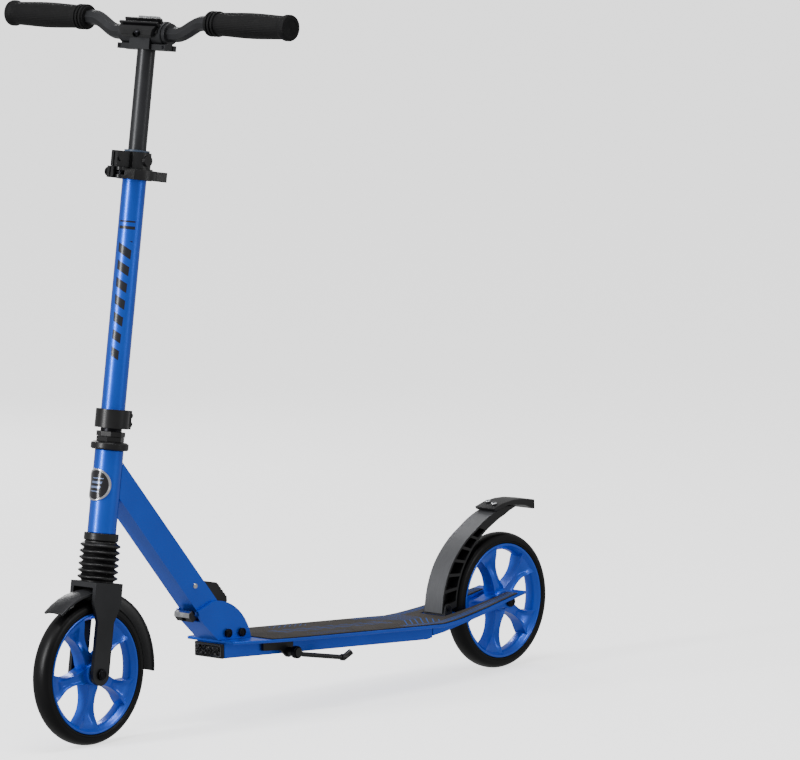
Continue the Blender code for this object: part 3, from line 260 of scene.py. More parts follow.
def dress(finish, nodes, round_by=0.0004, sharp=30.0):
    """Give CAD nodes their finish, with welded skins and small rounded edges that catch the light."""
    for node in nodes:
        piece = frame["nodes"][node]
        mesh = piece.data
        mesh.materials.clear()
        mesh.materials.append(finish.material)
        if "custom_normal" in mesh.attributes:
            mesh.attributes.remove(mesh.attributes["custom_normal"])
        mesh.shade_smooth()
        weld = piece.modifiers.new("weld", "WELD")
        weld.merge_threshold = 0.00001
        flat = piece.modifiers.new("flat", "DECIMATE")
        flat.decimate_type = "DISSOLVE"
        flat.angle_limit = math.radians(0.5)
        bevel = piece.modifiers.new("edges", "BEVEL")
        bevel.width = round_by
        bevel.segments = 2
        bevel.limit_method = "ANGLE"
        bevel.angle_limit = math.radians(sharp)
        bevel.harden_normals = True


dress(paint, ("down_tube", "fold_bracket", "rear_rail_left", "rear_rail_right"), 0.0011)
dress(paint, ("head_tube",), 0.0006)
dress(paint, ("deck_beam",), 0.0008)
dress(paint, ("deck_plate",), 0.0014)

# ---------------------------------------------------------------- the steering line
# Everything that steers is laid out on a line from the front axle up through the head tube. Its local Z
# runs up the line and its local X points back, so a round piece is turned there and then set in place.
joints = {joint["name"]: joint for joint in frame["record"]["behaviour"]["joints"]}


def middle(node):
    low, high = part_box(node)
    return (low + high) / 2


front_hub = middle("front_axle")
rear_hub = middle("rear_axle")
up_line = Vector(joints["steering"]["axis"]).normalized()
back_line = Vector((up_line.z, 0.0, -up_line.x))
steering = Matrix.Translation(front_hub) @ Matrix((
    (back_line.x, 0.0, up_line.x, 0.0),
    (0.0, 1.0, 0.0, 0.0),
    (back_line.z, 0.0, up_line.z, 0.0),
    (0.0, 0.0, 0.0, 1.0),
))
across = Matrix.Rotation(math.radians(-90), 4, "X")       # turns a local Z axis to point along +Y
merge = 0.000002                                           # points this near each other are one


def both_sides(half):
    """A ring profile given for one side of the wheel, carried over to the other."""
    return half + [(r, -y) for r, y in reversed(half)]


def up_the_line(point):
    return (Vector(point) - front_hub).dot(up_line)


def finished(name, skin):
    """Turn a skin's faces outwards and make it a mesh."""
    bmesh.ops.recalc_face_normals(skin, faces=skin.faces)
    mesh = bpy.data.meshes.new(name)
    skin.to_mesh(mesh)
    skin.free()
    return mesh


def band(skin, low, high):
    """Faces between two closed loops of points."""
    for step in range(len(low)):
        after = (step + 1) % len(low)
        skin.faces.new((low[step], low[after], high[after], high[step]))


def corner_reach(angle, sides):
    """How far a regular polygon with that many sides reaches at an angle, for a flat distance of 1."""
    slice_angle = math.tau / sides
    return 1.0 / math.cos((angle % slice_angle) - slice_angle / 2)


def turned(name, rings, steps=48, closed=False):
    """A skin through rings of (radius, height) or (flat distance, height, sides), round local Z."""
    skin = bmesh.new()
    loops = []
    for ring in rings:
        radius, height = ring[0], ring[1]
        loop = []
        for step in range(steps):
            angle = math.tau * step / steps
            reach = radius * (corner_reach(angle, ring[2]) if len(ring) > 2 else 1.0)
            loop.append(skin.verts.new((reach * math.cos(angle), reach * math.sin(angle), height)))
        loops.append(loop)
    pairs = list(zip(loops, loops[1:])) + ([(loops[-1], loops[0])] if closed else [])
    for low, high in pairs:
        band(skin, low, high)
    if not closed:
        skin.faces.new(list(reversed(loops[0])))
        skin.faces.new(loops[-1])
    bmesh.ops.remove_doubles(skin, verts=skin.verts, dist=merge)
    return finished(name, skin)


def add_piece(name, mesh, finish, body, place=None, sharp=38.0):
    if place is not None:
        mesh.transform(place)
    piece = bpy.data.objects.new(name, mesh)
    bpy.context.scene.collection.objects.link(piece)
    mesh.materials.clear()
    mesh.materials.append(finish.material)
    mesh.shade_smooth()
    mesh.set_sharp_from_angle(angle=math.radians(sharp))
    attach(piece, body)
    return piece


# ---------------------------------------------------------------- wheels
# Cast polyurethane tyres on injection-moulded blue rims. The rim has rounded lips, a stepped hub and
# five spokes with raised edges and a scooped pocket that runs out where each one meets the rim.
rubber = Finish("tyre_rubber", specular=0.22)
wear = rubber.noise(14.0, 4.0)
grain = rubber.noise(900.0, 3.0)
rubber.surface(
    base_color=rubber.tint(rubber.between(wear, 0.35, 0.7), (0.0025, 0.0025, 0.003), (0.0055, 0.0055, 0.006)),
    roughness=rubber.between(wear * 0.5 + grain * 0.5, 0.35, 0.65, 0.30, 0.44),
)
rubber.bump(grain, 0.00008, 0.4)

rim_paint, rim_blue = blue_paint("rim_paint")
rim_paint.surface(base_color=rim_blue, coat_weight=0.3, metallic=0.5)

tyre_low, tyre_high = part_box("rear_tyre")
wheel_r = (tyre_high.z - tyre_low.z) / 2
tyre_half = (tyre_high.y - tyre_low.y) / 2
rim_low, rim_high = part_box("rear_rim")
rim_r = wheel_r * 0.8370
rim_half = tyre_half * 0.93
hub_r = wheel_r * 0.165
axle_way = 0.0046
hub_half = (rim_high.y - rim_low.y) / 2
spoke_count = 5
wheel_steps, hub_steps = 120, 72
spoke_from, spoke_to = 0.013, 0.0765
spoke_widths = ((spoke_from, 0.0105), (0.021, 0.0094), (0.031, 0.0072), (0.042, 0.0068), (0.052, 0.0080),
                (0.060, 0.0108), (0.067, 0.0148), (spoke_to, 0.0195))     # distance out, half width


def listed(table, place):
    """A value read off a short table, straight between its entries."""
    for (a, p), (b, q) in zip(table, table[1:]):
        if a <= place <= b:
            return p + (q - p) * (place - a) / (b - a)
    return table[0][1] if place < table[0][0] else table[-1][1]


def tyre_mesh(name):
    """Full round tread over straight walls, with a fine moulded groove beside each rim lip."""
    seat = rim_r + 0.0003
    tread, crown_steps, squareness = 0.0118, 24, 0.62
    crown = []
    for step in range(crown_steps + 1):
        angle = math.radians(-90 + 180 * step / crown_steps)
        lift = math.copysign(abs(math.cos(angle)) ** squareness, math.cos(angle))
        crown.append((wheel_r - tread + tread * lift, tyre_half * math.sin(angle)))
    wall = [(seat, rim_half * 0.90), (seat + 0.0012, tyre_half * 0.955), (seat + 0.0030, tyre_half * 0.985),
            (seat + 0.0036, tyre_half * 0.955), (seat + 0.0041, tyre_half * 0.995)]
    return turned(name, [(r, -y) for r, y in wall] + crown + list(reversed(wall)), wheel_steps, closed=True)


def ring_mesh(name):
    """The rim's hoop: rounded lips, a shallow inner valley, and a stepped shoulder on each side."""
    inside = rim_r - 0.0090
    half = [(rim_r, rim_half), (rim_r - 0.0010, rim_half + 0.0005), (rim_r - 0.0026, rim_half + 0.0003),
            (rim_r - 0.0036, rim_half - 0.0010), (rim_r - 0.0044, rim_half - 0.0026),
            (inside + 0.0012, rim_half - 0.0052), (inside, rim_half * 0.35)]
    return turned(name, both_sides(half), wheel_steps, closed=True)


def hub_mesh(name):
    """Stepped hub with a bearing seat in each face."""
    half = [(hub_r, hub_half * 0.55), (hub_r - 0.0003, hub_half - 0.0022), (hub_r - 0.0012, hub_half - 0.0006),
            (hub_r - 0.0026, hub_half), (0.0128, hub_half), (0.0122, hub_half - 0.0012),
            (0.0112, hub_half - 0.0014), (axle_way, hub_half - 0.0014)]
    return turned(name, both_sides(half), hub_steps, closed=True)


def swell(place, start, length):
    """Half a sine wave over a length, and nothing outside it."""
    return math.sin(math.pi * min(max((place - start) / length, 0), 1))


def spoke_mesh(name, angle):
    """One spoke as a grid of rows along it, its faces scooped between raised edges."""
    skin = bmesh.new()
    rows, columns = 22, 10
    waist_dip, scoop_least, scoop_more = 0.0015, 0.0022, 0.0040
    faces = {1: [], -1: []}
    for side in (1, -1):
        for row in range(rows + 1):
            r = spoke_from + (spoke_to - spoke_from) * row / rows
            width = listed(spoke_widths, r)
            edge_height = rim_half * 0.80 - waist_dip * swell(r, 0.02, 0.05)
            scoop = scoop_least + scoop_more * swell(r, 0.036, 0.038) ** 2
            line = []
            for column in range(columns + 1):
                share = -1 + 2 * column / columns
                dip = scoop * min(1.0, max(0.0, (0.86 - abs(share)) / 0.30)) ** 0.8
                line.append(skin.verts.new((r, side * (edge_height - dip), width * share)))
            faces[side].append(line)
    for side in (1, -1):
        for low, high in zip(faces[side], faces[side][1:]):
            for column in range(columns):
                skin.faces.new((low[column], low[column + 1], high[column + 1], high[column]))
    for column in (0, columns):
        for row in range(rows):
            skin.faces.new((faces[1][row][column], faces[1][row + 1][column],
                            faces[-1][row + 1][column], faces[-1][row][column]))
    for row in (0, rows):
        for column in range(columns):
            skin.faces.new((faces[1][row][column], faces[1][row][column + 1],
                            faces[-1][row][column + 1], faces[-1][row][column]))
    mesh = finished(name, skin)
    mesh.transform(Matrix.Rotation(-angle, 4, "Y"))
    return mesh


def joined(name, meshes):
    skin = bmesh.new()
    for mesh in meshes:
        skin.from_mesh(mesh)
    whole = bpy.data.meshes.new(name)
    skin.to_mesh(whole)
    skin.free()
    return whole


for which, hub, first_spoke in (("front", front_hub, 45.0), ("rear", rear_hub, 40.0)):
    set_on = Matrix.Translation(hub)
    tyre = add_piece(f"{which}_tyre_skin", tyre_mesh("tyre"), rubber, f"{which}_wheel",
                     set_on @ across)
    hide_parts(f"{which}_tyre")
    hoop = ring_mesh("hoop")
    core = hub_mesh("core")
    for mesh in (hoop, core):
        mesh.transform(across)
    spokes = [spoke_mesh("spoke", math.radians(first_spoke + 360 / spoke_count * number))
              for number in range(spoke_count)]
    rim = add_piece(f"{which}_spoked_rim", joined("rim", [hoop, core] + spokes), rim_paint, f"{which}_wheel",
                    set_on, 50.0)
    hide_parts(f"{which}_rim")

# ---------------------------------------------------------------- bright and black steel fasteners
# Zinc-plated screws, pins and bearings, and black-oxide axle and pivot bolts with hexagon sockets.
# Plating is cloudy at arm's length, with fine turning lines and a little darkening.


def plated(name, dark, light, rough_low, rough_high):
    metal = Finish(name, metallic=1.0)
    cloud = metal.noise(160.0, 4.0)
    fine = metal.noise(1500.0, 2.0)
    metal.surface(
        base_color=metal.tint(metal.between(cloud, 0.35, 0.65), dark, light),
        roughness=metal.between(cloud * 0.6 + fine * 0.4, 0.35, 0.65, rough_low, rough_high),
    )
    metal.bump(fine, 0.00003, 0.3)
    return metal


zinc = plated("bright_zinc", (0.50, 0.51, 0.53), (0.72, 0.73, 0.75), 0.16, 0.32)
black_oxide = plated("black_oxide", (0.012, 0.012, 0.014), (0.030, 0.030, 0.034), 0.26, 0.44)
dress(zinc, ("rear_bearing_left", "rear_bearing_right", "front_bearing_left", "front_bearing_right",
             "lever_rivet", "fork_shaft"), 0.0003)
dress(black_oxide, ("pivot_bolt", "stop_bolt", "brake_pin", "qr_pin", "hinge_pin_left", "hinge_pin_right",
                    "steerer_tube", "front_axle", "rear_axle"), 0.0003)


def cap_screw(name, at, along, radius, height, body, finish, socket=0.55):
    """A domed screw head with a hexagon socket, standing on a face and pointing along its normal."""
    key = radius * socket
    rings = [(radius * 0.92, 0.0), (radius, height * 0.18), (radius, height * 0.62),
             (radius * 0.90, height * 0.88), (radius * 0.74, height), (key, height, 6),
             (key * 0.98, height * 0.30, 6), (0.0001, height * 0.24)]
    turn = Vector(along).to_track_quat("Z", "Y").to_matrix().to_4x4()
    return add_piece(name, turned(name, rings, 36), finish, body, Matrix.Translation(at) @ turn)


axle_head_r, axle_head_t = 0.0062, 0.0009


def axle_heads(axle, body):
    low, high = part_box(axle)
    centre = middle(axle)
    for side, y, along in (("left", low.y, -1), ("right", high.y, 1)):
        cap_screw(f"{axle}_screw_{side}", (centre.x, y, centre.z), (0, along, 0), axle_head_r, axle_head_t,
                  body, black_oxide, 0.62)


axle_heads("front_axle", "fork")
axle_heads("rear_axle", "deck")
axle_heads("pivot_bolt", "deck")
axle_heads("stop_bolt", "deck")

# ---------------------------------------------------------------- anthracite metal: fork, guard and bars
# Cast fork, pressed guard and bent bars are painted one satin charcoal with a fine metallic fleck.
# Its tone and its gloss drift softly from place to place.
charcoal = Finish("anthracite_satin", metallic=0.45, specular=0.45, coat_weight=0.12, coat_roughness=0.25)
fleck = charcoal.noise(2200.0, 1.0)
haze = charcoal.noise(12.0, 3.0)
charcoal.surface(
    base_color=charcoal.tint(charcoal.between(fleck * 0.5 + haze * 0.5, 0.36, 0.66),
                             (0.014, 0.0145, 0.016), (0.032, 0.033, 0.037)),
    roughness=charcoal.between(haze, 0.3, 0.7, 0.34, 0.46),
)
charcoal.bump(charcoal.noise(700.0, 2.0), 0.00004, 0.4)
dress(charcoal, ("t_bar_post", "bar_left", "bar_right", "bar_sleeve"), 0.0006, 34.0)
dress(charcoal, ("fork_crown",), 0.0016)
dress(charcoal, ("front_mudguard", "brake_mount"), 0.0005, 34.0)

# ---------------------------------------------------------------- black moulded plastic: clamps, latches, caps
# Glass-filled nylon mouldings with a fine spark-eroded grain and soft, slightly glossier patches.
# The bushing that guides the handlebar post is a softer blue-grey plastic.


def moulded(name, low, high, grain_size=1300.0, depth=0.00006,
            tones=((0.0045, 0.0045, 0.005), (0.010, 0.010, 0.011))):
    plastic = Finish(name, specular=0.45)
    spark = plastic.noise(grain_size, 3.0)
    rubbed = plastic.noise(22.0, 3.0)
    plastic.surface(
        base_color=plastic.tint(plastic.between(rubbed, 0.35, 0.7), *tones),
        roughness=plastic.between(rubbed * 0.6 + spark * 0.4, 0.35, 0.65, low, high),
    )
    plastic.bump(spark, depth, 0.45)
    return plastic


nylon = moulded("black_nylon", 0.27, 0.42)
dress(nylon, ("headset_lower_cup", "headset_upper_cup", "lower_clamp", "qr_clamp", "qr_lever", "upper_collar",
              "kickstand_bracket", "kickstand_leg", "brake_pedal", "fold_lever", "lock_bar"), 0.0007)
dress(nylon, ("headset_nut", "headset_locknut", "nose_cap"), 0.0006)
bushing = moulded("bushing_grey", 0.32, 0.48, tones=((0.030, 0.048, 0.085), (0.055, 0.080, 0.125)))
dress(bushing, ("post_bushing",), 0.0003)

# ---------------------------------------------------------------- lock bar cover
# The lock bar is a black block across the down tube. A thin bright strip is folded over its top and front
# edge, and a black screw in its front holds it to the block.
tube_face = -Vector(joints["lock_bar_slide"]["axis"]).normalized()      # out of the down tube's rear face
tube_rise = Vector((-tube_face.z, 0.0, tube_face.x))
lock_bar = frame["nodes"]["lock_bar"]
bar_points = [lock_bar.matrix_world @ point.co for point in lock_bar.data.vertices]
bar_front = min(point.dot(tube_face) for point in bar_points)
bar_top = max(point.dot(tube_rise) for point in bar_points)
cover_half = max(point.y for point in bar_points) - 0.0012
cover_clear, cover_t = 0.0001, 0.0008
cover_fold = ((0.0090, -0.0008), (0.0042, 0.0002), (0.0001, -0.0036), (-0.0001, -0.0052))
lock_screw_down = 0.0092
cover_skin = bmesh.new()
under, over = [], []
for back, rise in cover_fold:
    for row, lift in ((under, cover_clear), (over, cover_t)):
        spot = tube_face * (bar_front + back - lift * 0.6) + tube_rise * (bar_top + rise + lift * 0.8)
        row.append([cover_skin.verts.new(spot + Vector((0, y, 0))) for y in (-cover_half, cover_half)])
cover_round = under + list(reversed(over))
for near, far in zip(cover_round, cover_round[1:] + cover_round[:1]):
    cover_skin.faces.new((near[0], near[1], far[1], far[0]))
for side in (0, 1):
    for number in range(len(under) - 1):
        cover_skin.faces.new((under[number][side], under[number + 1][side],
                              over[number + 1][side], over[number][side]))
add_piece("lock_cover", finished("lock_cover", cover_skin), zinc, "lock_bar", None, 20.0)
cap_screw("lock_screw", tube_face * bar_front + tube_rise * (bar_top - lock_screw_down), -tube_face, 0.0034,
          0.0014, "lock_bar", black_oxide)

# ---------------------------------------------------------------- bellows and suspension spring
# A moulded rubber boot with six thin folds over the coil spring, held at its top by the lower cup.
boot_rubber = moulded("boot_rubber", 0.30, 0.46, 1800.0, 0.00004)
boot_bottom = 0.1260          # just over the fork crown, up the steering line
boot_top = 0.1812             # just under the lower headset cup
boot_length = boot_top - boot_bottom
boot_r, boot_bead_r, boot_bore = 0.0224, 0.0226, 0.0208
boot_wall = 0.0013
folds, fold_steps, fold_depth = 6, 12, 0.0056
bead = 0.0012
travel = joints["fork_travel"]["range_m"][1]
boot_rings = [(boot_bore, boot_bottom), (boot_bead_r, boot_bottom)]
for step in range(folds * fold_steps + 1):
    wave = 0.5 - 0.5 * math.cos(math.tau * step / fold_steps)
    boot_rings.append((boot_r + fold_depth * wave ** 0.72,
                       boot_bottom + bead + (boot_length - 2 * bead) * step / (folds * fold_steps)))
boot_rings += [(boot_bead_r, boot_top), (boot_bore, boot_top)]
boot_inner = [(r - boot_wall, h) for r, h in reversed(boot_rings[1:-1])]
boot = add_piece("bellows_boot", turned("boot", boot_rings + boot_inner, 64, closed=True), boot_rubber,
                 "steerer", steering, 60.0)
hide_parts("bellows")
(boot_length - travel) / boot_length
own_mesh(boot)


def wound(name, radius, wire, low, high, turns, per_turn=28, sides=10):
    """A wire coil round local Z, cut square at both ends."""
    skin = bmesh.new()
    count = int(turns * per_turn)
    loops = []
    for step in range(count + 1):
        share = step / count
        angle = math.tau * turns * share
        height = low + wire + (high - low - 2 * wire) * share
        outward = Vector((math.cos(angle), math.sin(angle), 0.0))
        loop = []
        for side in range(sides):
            lean = math.tau * side / sides
            point = outward * (radius + wire * math.cos(lean)) + Vector((0, 0, height + wire * math.sin(lean)))
            loop.append(skin.verts.new(point))
        loops.append(loop)
    for low_loop, high_loop in zip(loops, loops[1:]):
        band(skin, low_loop, high_loop)
    skin.faces.new(list(reversed(loops[0])))
    skin.faces.new(loops[-1])
    return finished(name, skin)


spring_top = boot_top - 0.0084
spring_length = spring_top - boot_bottom
coil_r, coil_wire, coil_turns = 0.0141, 0.0011, 6.0
coil = add_piece("fork_coil", wound("coil", coil_r, coil_wire, boot_bottom, spring_top, coil_turns), zinc,
                 "steerer", steering)
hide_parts("front_spring")
(spring_length - travel) / spring_length
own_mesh(coil)

# ---------------------------------------------------------------- stem tube and its printed stripes
# The blue stem carries a dark screen print on its front left: slanted bars that shorten going down,
# under a plain double ring. Heights are up the steering line from the front axle.
print_low, print_high = 0.425, 0.595
print_turn = math.radians(27)
stem_paint, stem_blue = blue_paint("stem_paint")
stem_place = stem_paint.place()
print_facing = -back_line * math.cos(print_turn) + Vector((0, -1, 0)) * math.sin(print_turn)
print_across = up_line.cross(print_facing)
height = stem_paint.dot(stem_place, front_hub, up_line)
sideways = stem_paint.dot(stem_place, front_hub, print_across)
outward = stem_paint.dot(stem_place, front_hub, print_facing)
facing = outward > 0.004
bar_run = (height + sideways * 0.55) % 0.0235
taper = stem_paint.between(height, print_low, 0.600, 0.0052, 0.0098)
bars = (bar_run > 0.0105) * (height > print_low) * (height < print_high) * (abs(sideways) < taper)
top_ring = (abs(height - 0.6130) < 0.0022) + (abs(height - 0.6215) < 0.0012)
printed = (bars + top_ring * (abs(sideways) < 0.0112)) * facing
stem_paint.surface(
    base_color=stem_paint.tint(printed, stem_blue, (0.010, 0.012, 0.020)),
    metallic=0.68 - printed * 0.6,
)
dress(stem_paint, ("stem_tube",), 0.0006)

# ---------------------------------------------------------------- head badge
# A pressed round badge bent to the head tube: raised bright bezel, black enamel and plain blue bars.
# It is stuck on, so nothing but the pressing shows.
badge_height = up_the_line(middle("head_badge"))
tube_r = 0.0199
badge_r, bezel_r = 0.0225, 0.0197
badge_back, badge_floor = 0.0003, 0.0013       # lift of the badge's back and of its enamel off the tube
badge = Finish("badge_enamel", coat_weight=0.5)
badge_place = badge.place()
tube_line_point = front_hub + up_line * badge_height
badge_up = badge.dot(badge_place, tube_line_point, up_line)
ahead = badge.dot(badge_place, tube_line_point, -back_line)
abreast = badge.dot(badge_place, tube_line_point, (0, 1, 0))
badge_side = badge.node("Math", {"operation": "ARCTAN2"}, abreast, ahead) * (tube_r + 0.001)
badge_reach = badge.root(badge_up * badge_up + badge_side * badge_side)
bezel = badge_reach > bezel_r
badge_bars = (abs(badge_up % 0.0066 - 0.0033) < 0.0015) * (abs(badge_up) < 0.0098)
badge_bars = badge_bars * (abs(badge_side + badge_up * 0.30) < 0.0090)
badge_cloud = badge.noise(300.0, 2.0)
silver = badge.tint(badge_cloud, (0.60, 0.61, 0.63), (0.78, 0.79, 0.81))
enamel = badge.tint(badge_bars, (0.007, 0.007, 0.009), (0.22, 0.30, 0.52))
badge.surface(
    base_color=badge.tint(bezel, enamel, silver),
    metallic=bezel * 0.95 + badge_bars * (1 - bezel) * 0.5,
    roughness=badge.between(badge_cloud, 0.3, 0.7, 0.18, 0.28),
)
badge.bump(badge_bars, 0.0003, 0.6)


def bent_disc(name, rings, steps=64):
    """Rings of (reach, lift) round a centre on the head tube, laid along its curved front."""
    skin = bmesh.new()
    loops = []
    for reach, lift in rings:
        loop = []
        for step in range(steps):
            turn = math.tau * step / steps
            angle = reach * math.cos(turn) / tube_r
            out_by = tube_r + lift
            loop.append(skin.verts.new((-out_by * math.cos(angle), out_by * math.sin(angle),
                                        badge_height + reach * math.sin(turn))))
        loops.append(loop)
    for low, high in zip(loops, loops[1:]):
        band(skin, low, high)
    bmesh.ops.remove_doubles(skin, verts=skin.verts, dist=merge)
    return finished(name, skin)


badge_rings = [(badge_r * part, badge_back) for part in (0.0, 0.25, 0.5, 0.75, 1.0)]
badge_rings += [(badge_r, 0.0012), (badge_r - 0.0006, 0.0020), (badge_r - 0.0016, 0.0022),
                (bezel_r + 0.0006, 0.0021)]
badge_rings += [(bezel_r * part, badge_floor) for part in (1.0, 0.75, 0.5, 0.25, 0.0)]
plate = add_piece("head_plate", bent_disc("plate", badge_rings), badge, "neck", steering, 40.0)
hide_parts("head_badge")

# ---------------------------------------------------------------- deck tape and its printed lines
# Grit-coated tape in warm dark grey, stuck to the plate. Blue lines follow the deck's edge along the arms,
# with V lines ahead of the brake and rows of slanted dashes down the middle.
deck_half, arm_draw_in = 0.0620, 0.0165
arm_start, arm_end = 0.200, 0.440
rear_lines_from = 0.165
dash_pitch, dash_from, dash_to = 0.030, -0.055, 0.190
tape = Finish("deck_tape", roughness=0.93, specular=0.25)
tape_place = tape.place()
deck_x, deck_y, _ = tape.parts(tape_place)
off_middle = abs(deck_y)
drawn_in = tape.between(deck_x, arm_start, arm_end, 0.0, arm_draw_in, "SMOOTHSTEP")
from_edge = deck_half - drawn_in - off_middle
rear_part = deck_x > rear_lines_from
edge_lines = ((abs(from_edge - 0.0085) < 0.0007) + (abs(from_edge - 0.0125) < 0.0009)
              + (abs(from_edge - 0.0175) < 0.0006)) * rear_part
v_run = (deck_x + off_middle * 0.95) % 0.0115
v_lines = (abs(v_run - 0.005) < 0.0011) * (deck_x + off_middle * 0.95 > 0.215) * (deck_x < 0.262)
v_lines = v_lines * (from_edge > 0.020)
front_v = abs((deck_x - off_middle * 1.3) % 0.011 - 0.005) < 0.0009
front_v = front_v * (off_middle > 0.032) * (off_middle < 0.052)
front_v = front_v * (deck_x > -0.020) * (deck_x < 0.060)
dash_run = (deck_x + deck_y * 0.5) % dash_pitch
dashes = (dash_run > 0.012) * (abs(abs(off_middle - 0.007) - 0.004) < 0.0016)
dashes = dashes * (deck_x > dash_from) * (deck_x < dash_to)
tape_print = edge_lines + v_lines + front_v * 0.7 + dashes * 0.5
tape_print = tape.node("Math", {"operation": "MINIMUM"}, tape_print, 1.0)
grit = tape.noise(1700.0, 2.0)
scuff = tape.noise(18.0, 5.0)
stones = tape.node("TexVoronoi", {}, tape_place, Scale=1500.0)
tape_grey = tape.tint(tape.between(grit * 0.7 + scuff * 0.3, 0.32, 0.68), (0.018, 0.016, 0.015),
                      (0.074, 0.066, 0.062))
tape_blue = tape.tint(grit, (0.012, 0.060, 0.26), (0.030, 0.115, 0.45))
tape.surface(base_color=tape.tint(tape_print, tape_grey, tape_blue))
tape.bump(grit * 0.6 - stones * 0.8, 0.00035, 0.8)
dress(tape, ("grip_tape",), 0.0002)

# ---------------------------------------------------------------- brake fender and pedal
# A moulded black fender with a brushed charcoal wear strip over its outer wall. The pedal is screwed
# to its top end with two bright cap screws.
outer_wall_r = 0.1255          # the outer wall lies beyond this distance from the axle
fender = Finish("fender_mould", specular=0.4)
fx, _, fz = fender.away_from(rear_hub)
fender_r = fender.root(fx * fx + fz * fz)
nx, _, nz = fender.parts(fender.node("TexCoord", {"output": "Normal"}))
outward_face = ((nx * fx + nz * fz) / fender_r > 0.55) * (fender_r > outer_wall_r)
brush = fender.node("TexNoise", {}, Scale=1.0, Detail=3.0, Vector=fender.node(
    "VectorMath", {"operation": "MULTIPLY"}, fender.place(), (60.0, 2600.0, 60.0)))
strip = fender.tint(brush, (0.085, 0.087, 0.092), (0.170, 0.173, 0.182))
body_grain = fender.noise(1200.0, 3.0)
mould = fender.tint(body_grain, (0.006, 0.006, 0.0065), (0.013, 0.013, 0.014))
fender.surface(
    base_color=fender.tint(outward_face, mould, strip),
    metallic=outward_face * 0.6,
    roughness=fender.between(brush, 0.3, 0.7, 0.36, 0.50),
)
fender.bump(body_grain, 0.00005, 0.4)
dress(fender, ("brake_fender",), 0.0006, 34.0)

pedal_low, pedal_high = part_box("brake_pedal")
pedal_rise = 0.24              # the pedal's top climbs this much for each metre back
for number, (back, y) in enumerate(((0.0120, -0.0085), (0.0175, 0.0085))):
    screw_z = pedal_high.z - 0.0066 + back * pedal_rise
    cap_screw(f"pedal_screw_{number + 1}", (pedal_low.x + back, y, screw_z), (-pedal_rise, 0, 0.97), 0.0042,
              0.0024, "brake", zinc)

# ---------------------------------------------------------------- nose cap lattice
# The beam's moulded plug is pushed into its front end. It has a raised border round a field of crossed
# ribs, given a much paler grey than the plug as a painted highlight on their raised faces.
border_inset = 0.0036
rib_pitch, rib_w, rib_t = 0.0056, 0.0023, 0.0012
border_w, border_t = 0.0022, 0.0013
nose_low, nose_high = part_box("nose_cap")
# The border and ribs are painted pale grey as a painted highlight, so the lattice shows against the dark plug.
painted_highlight_ribs = moulded("painted_highlight_ribs", 0.30, 0.44, tones=((0.085, 0.085, 0.090), (0.150, 0.150, 0.156)))
field_y = nose_high.y - border_inset
field_z = (nose_high.z - nose_low.z) / 2 - 0.0034


def bar_between(skin, a, b, width, height):
    """A flat bar on the nose cap's face from one (y, z) point to another, narrower on top, set in a little."""
    run = Vector((0, b[0] - a[0], b[1] - a[1])).normalized()
    side = Vector((1, 0, 0)).cross(run) * width / 2
    set_in = Vector((0.0004, 0, 0))
    ends = [Vector((0, *a)), Vector((0, *b))]
    low = [skin.verts.new(end + s * side + set_in) for end in ends for s in (-1, 1)]
    high = [skin.verts.new(end + s * side * 0.75 - Vector((height, 0, 0))) for end in ends for s in (-1, 1)]
    for a0, a1 in ((0, 1), (1, 3), (3, 2), (2, 0)):
        skin.faces.new((low[a0], low[a1], high[a1], high[a0]))
    skin.faces.new(high)
    skin.faces.new(low)


lattice = bmesh.new()
rib_count = int((2 * field_y + 2 * field_z) / rib_pitch)
for slope in (1, -1):
    for number in range(1, rib_count):
        start = -field_y - field_z + rib_pitch * number
        ends = []
        for z in (-field_z, field_z):
            y = start + slope * z
            inside_y = min(max(y, -field_y), field_y)
            ends.append((inside_y, z + (inside_y - y) * slope))
        long_enough = abs(ends[0][1] - ends[1][1]) > 0.001
        if long_enough and all(abs(z) <= field_z + 0.00001 for y, z in ends):
            bar_between(lattice, *ends, rib_w, rib_t)
border = [(-field_y, -field_z), (field_y, -field_z), (field_y, field_z), (-field_y, field_z)]
for corner, after in zip(border, border[1:] + border[:1]):
    bar_between(lattice, corner, after, border_w, border_t)
add_piece("nose_lattice", finished("nose_lattice", lattice), painted_highlight_ribs, "deck",
          Matrix.Translation((nose_low.x, 0.0, middle("nose_cap").z)), 20.0)

# ---------------------------------------------------------------- grips
# Slip-on moulded rubber grips: three bands at the inner end, a finely knurled barrel, and a flared end
# with a shallow dished cap.
knurls_round, knurls_along = 22.0, 1350.0
grip_rubber = Finish("grip_rubber", specular=0.2)
grip_mid = middle("grip_left")
gx, gy, gz = grip_rubber.away_from(grip_mid)
around = grip_rubber.node("Math", {"operation": "ARCTAN2"}, gz, gx)
run = grip_rubber.node("Math", {"operation": "SINE"}, around * knurls_round + gy * knurls_along)
cross = grip_rubber.node("Math", {"operation": "SINE"}, around * knurls_round - gy * knurls_along)
knurl = grip_rubber.between(run * cross, -0.6, 0.6)
dust = grip_rubber.noise(30.0, 4.0)
grip_rubber.surface(
    base_color=grip_rubber.tint(grip_rubber.between(dust, 0.35, 0.7), (0.0022, 0.0022, 0.0026),
                                (0.0052, 0.0052, 0.0056)),
    roughness=grip_rubber.between(dust, 0.3, 0.7, 0.52, 0.68),
)
grip_rubber.bump(knurl, 0.0005, 0.8)
grip_low, grip_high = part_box("grip_left")
grip_inner, grip_outer = -grip_high.y, -grip_low.y
grip_length = grip_outer - grip_inner
barrel = 0.0164
barrel_steps = 14
rings = [(0.0105, grip_inner), (0.0150, grip_inner), (0.0156, grip_inner + 0.0006)]
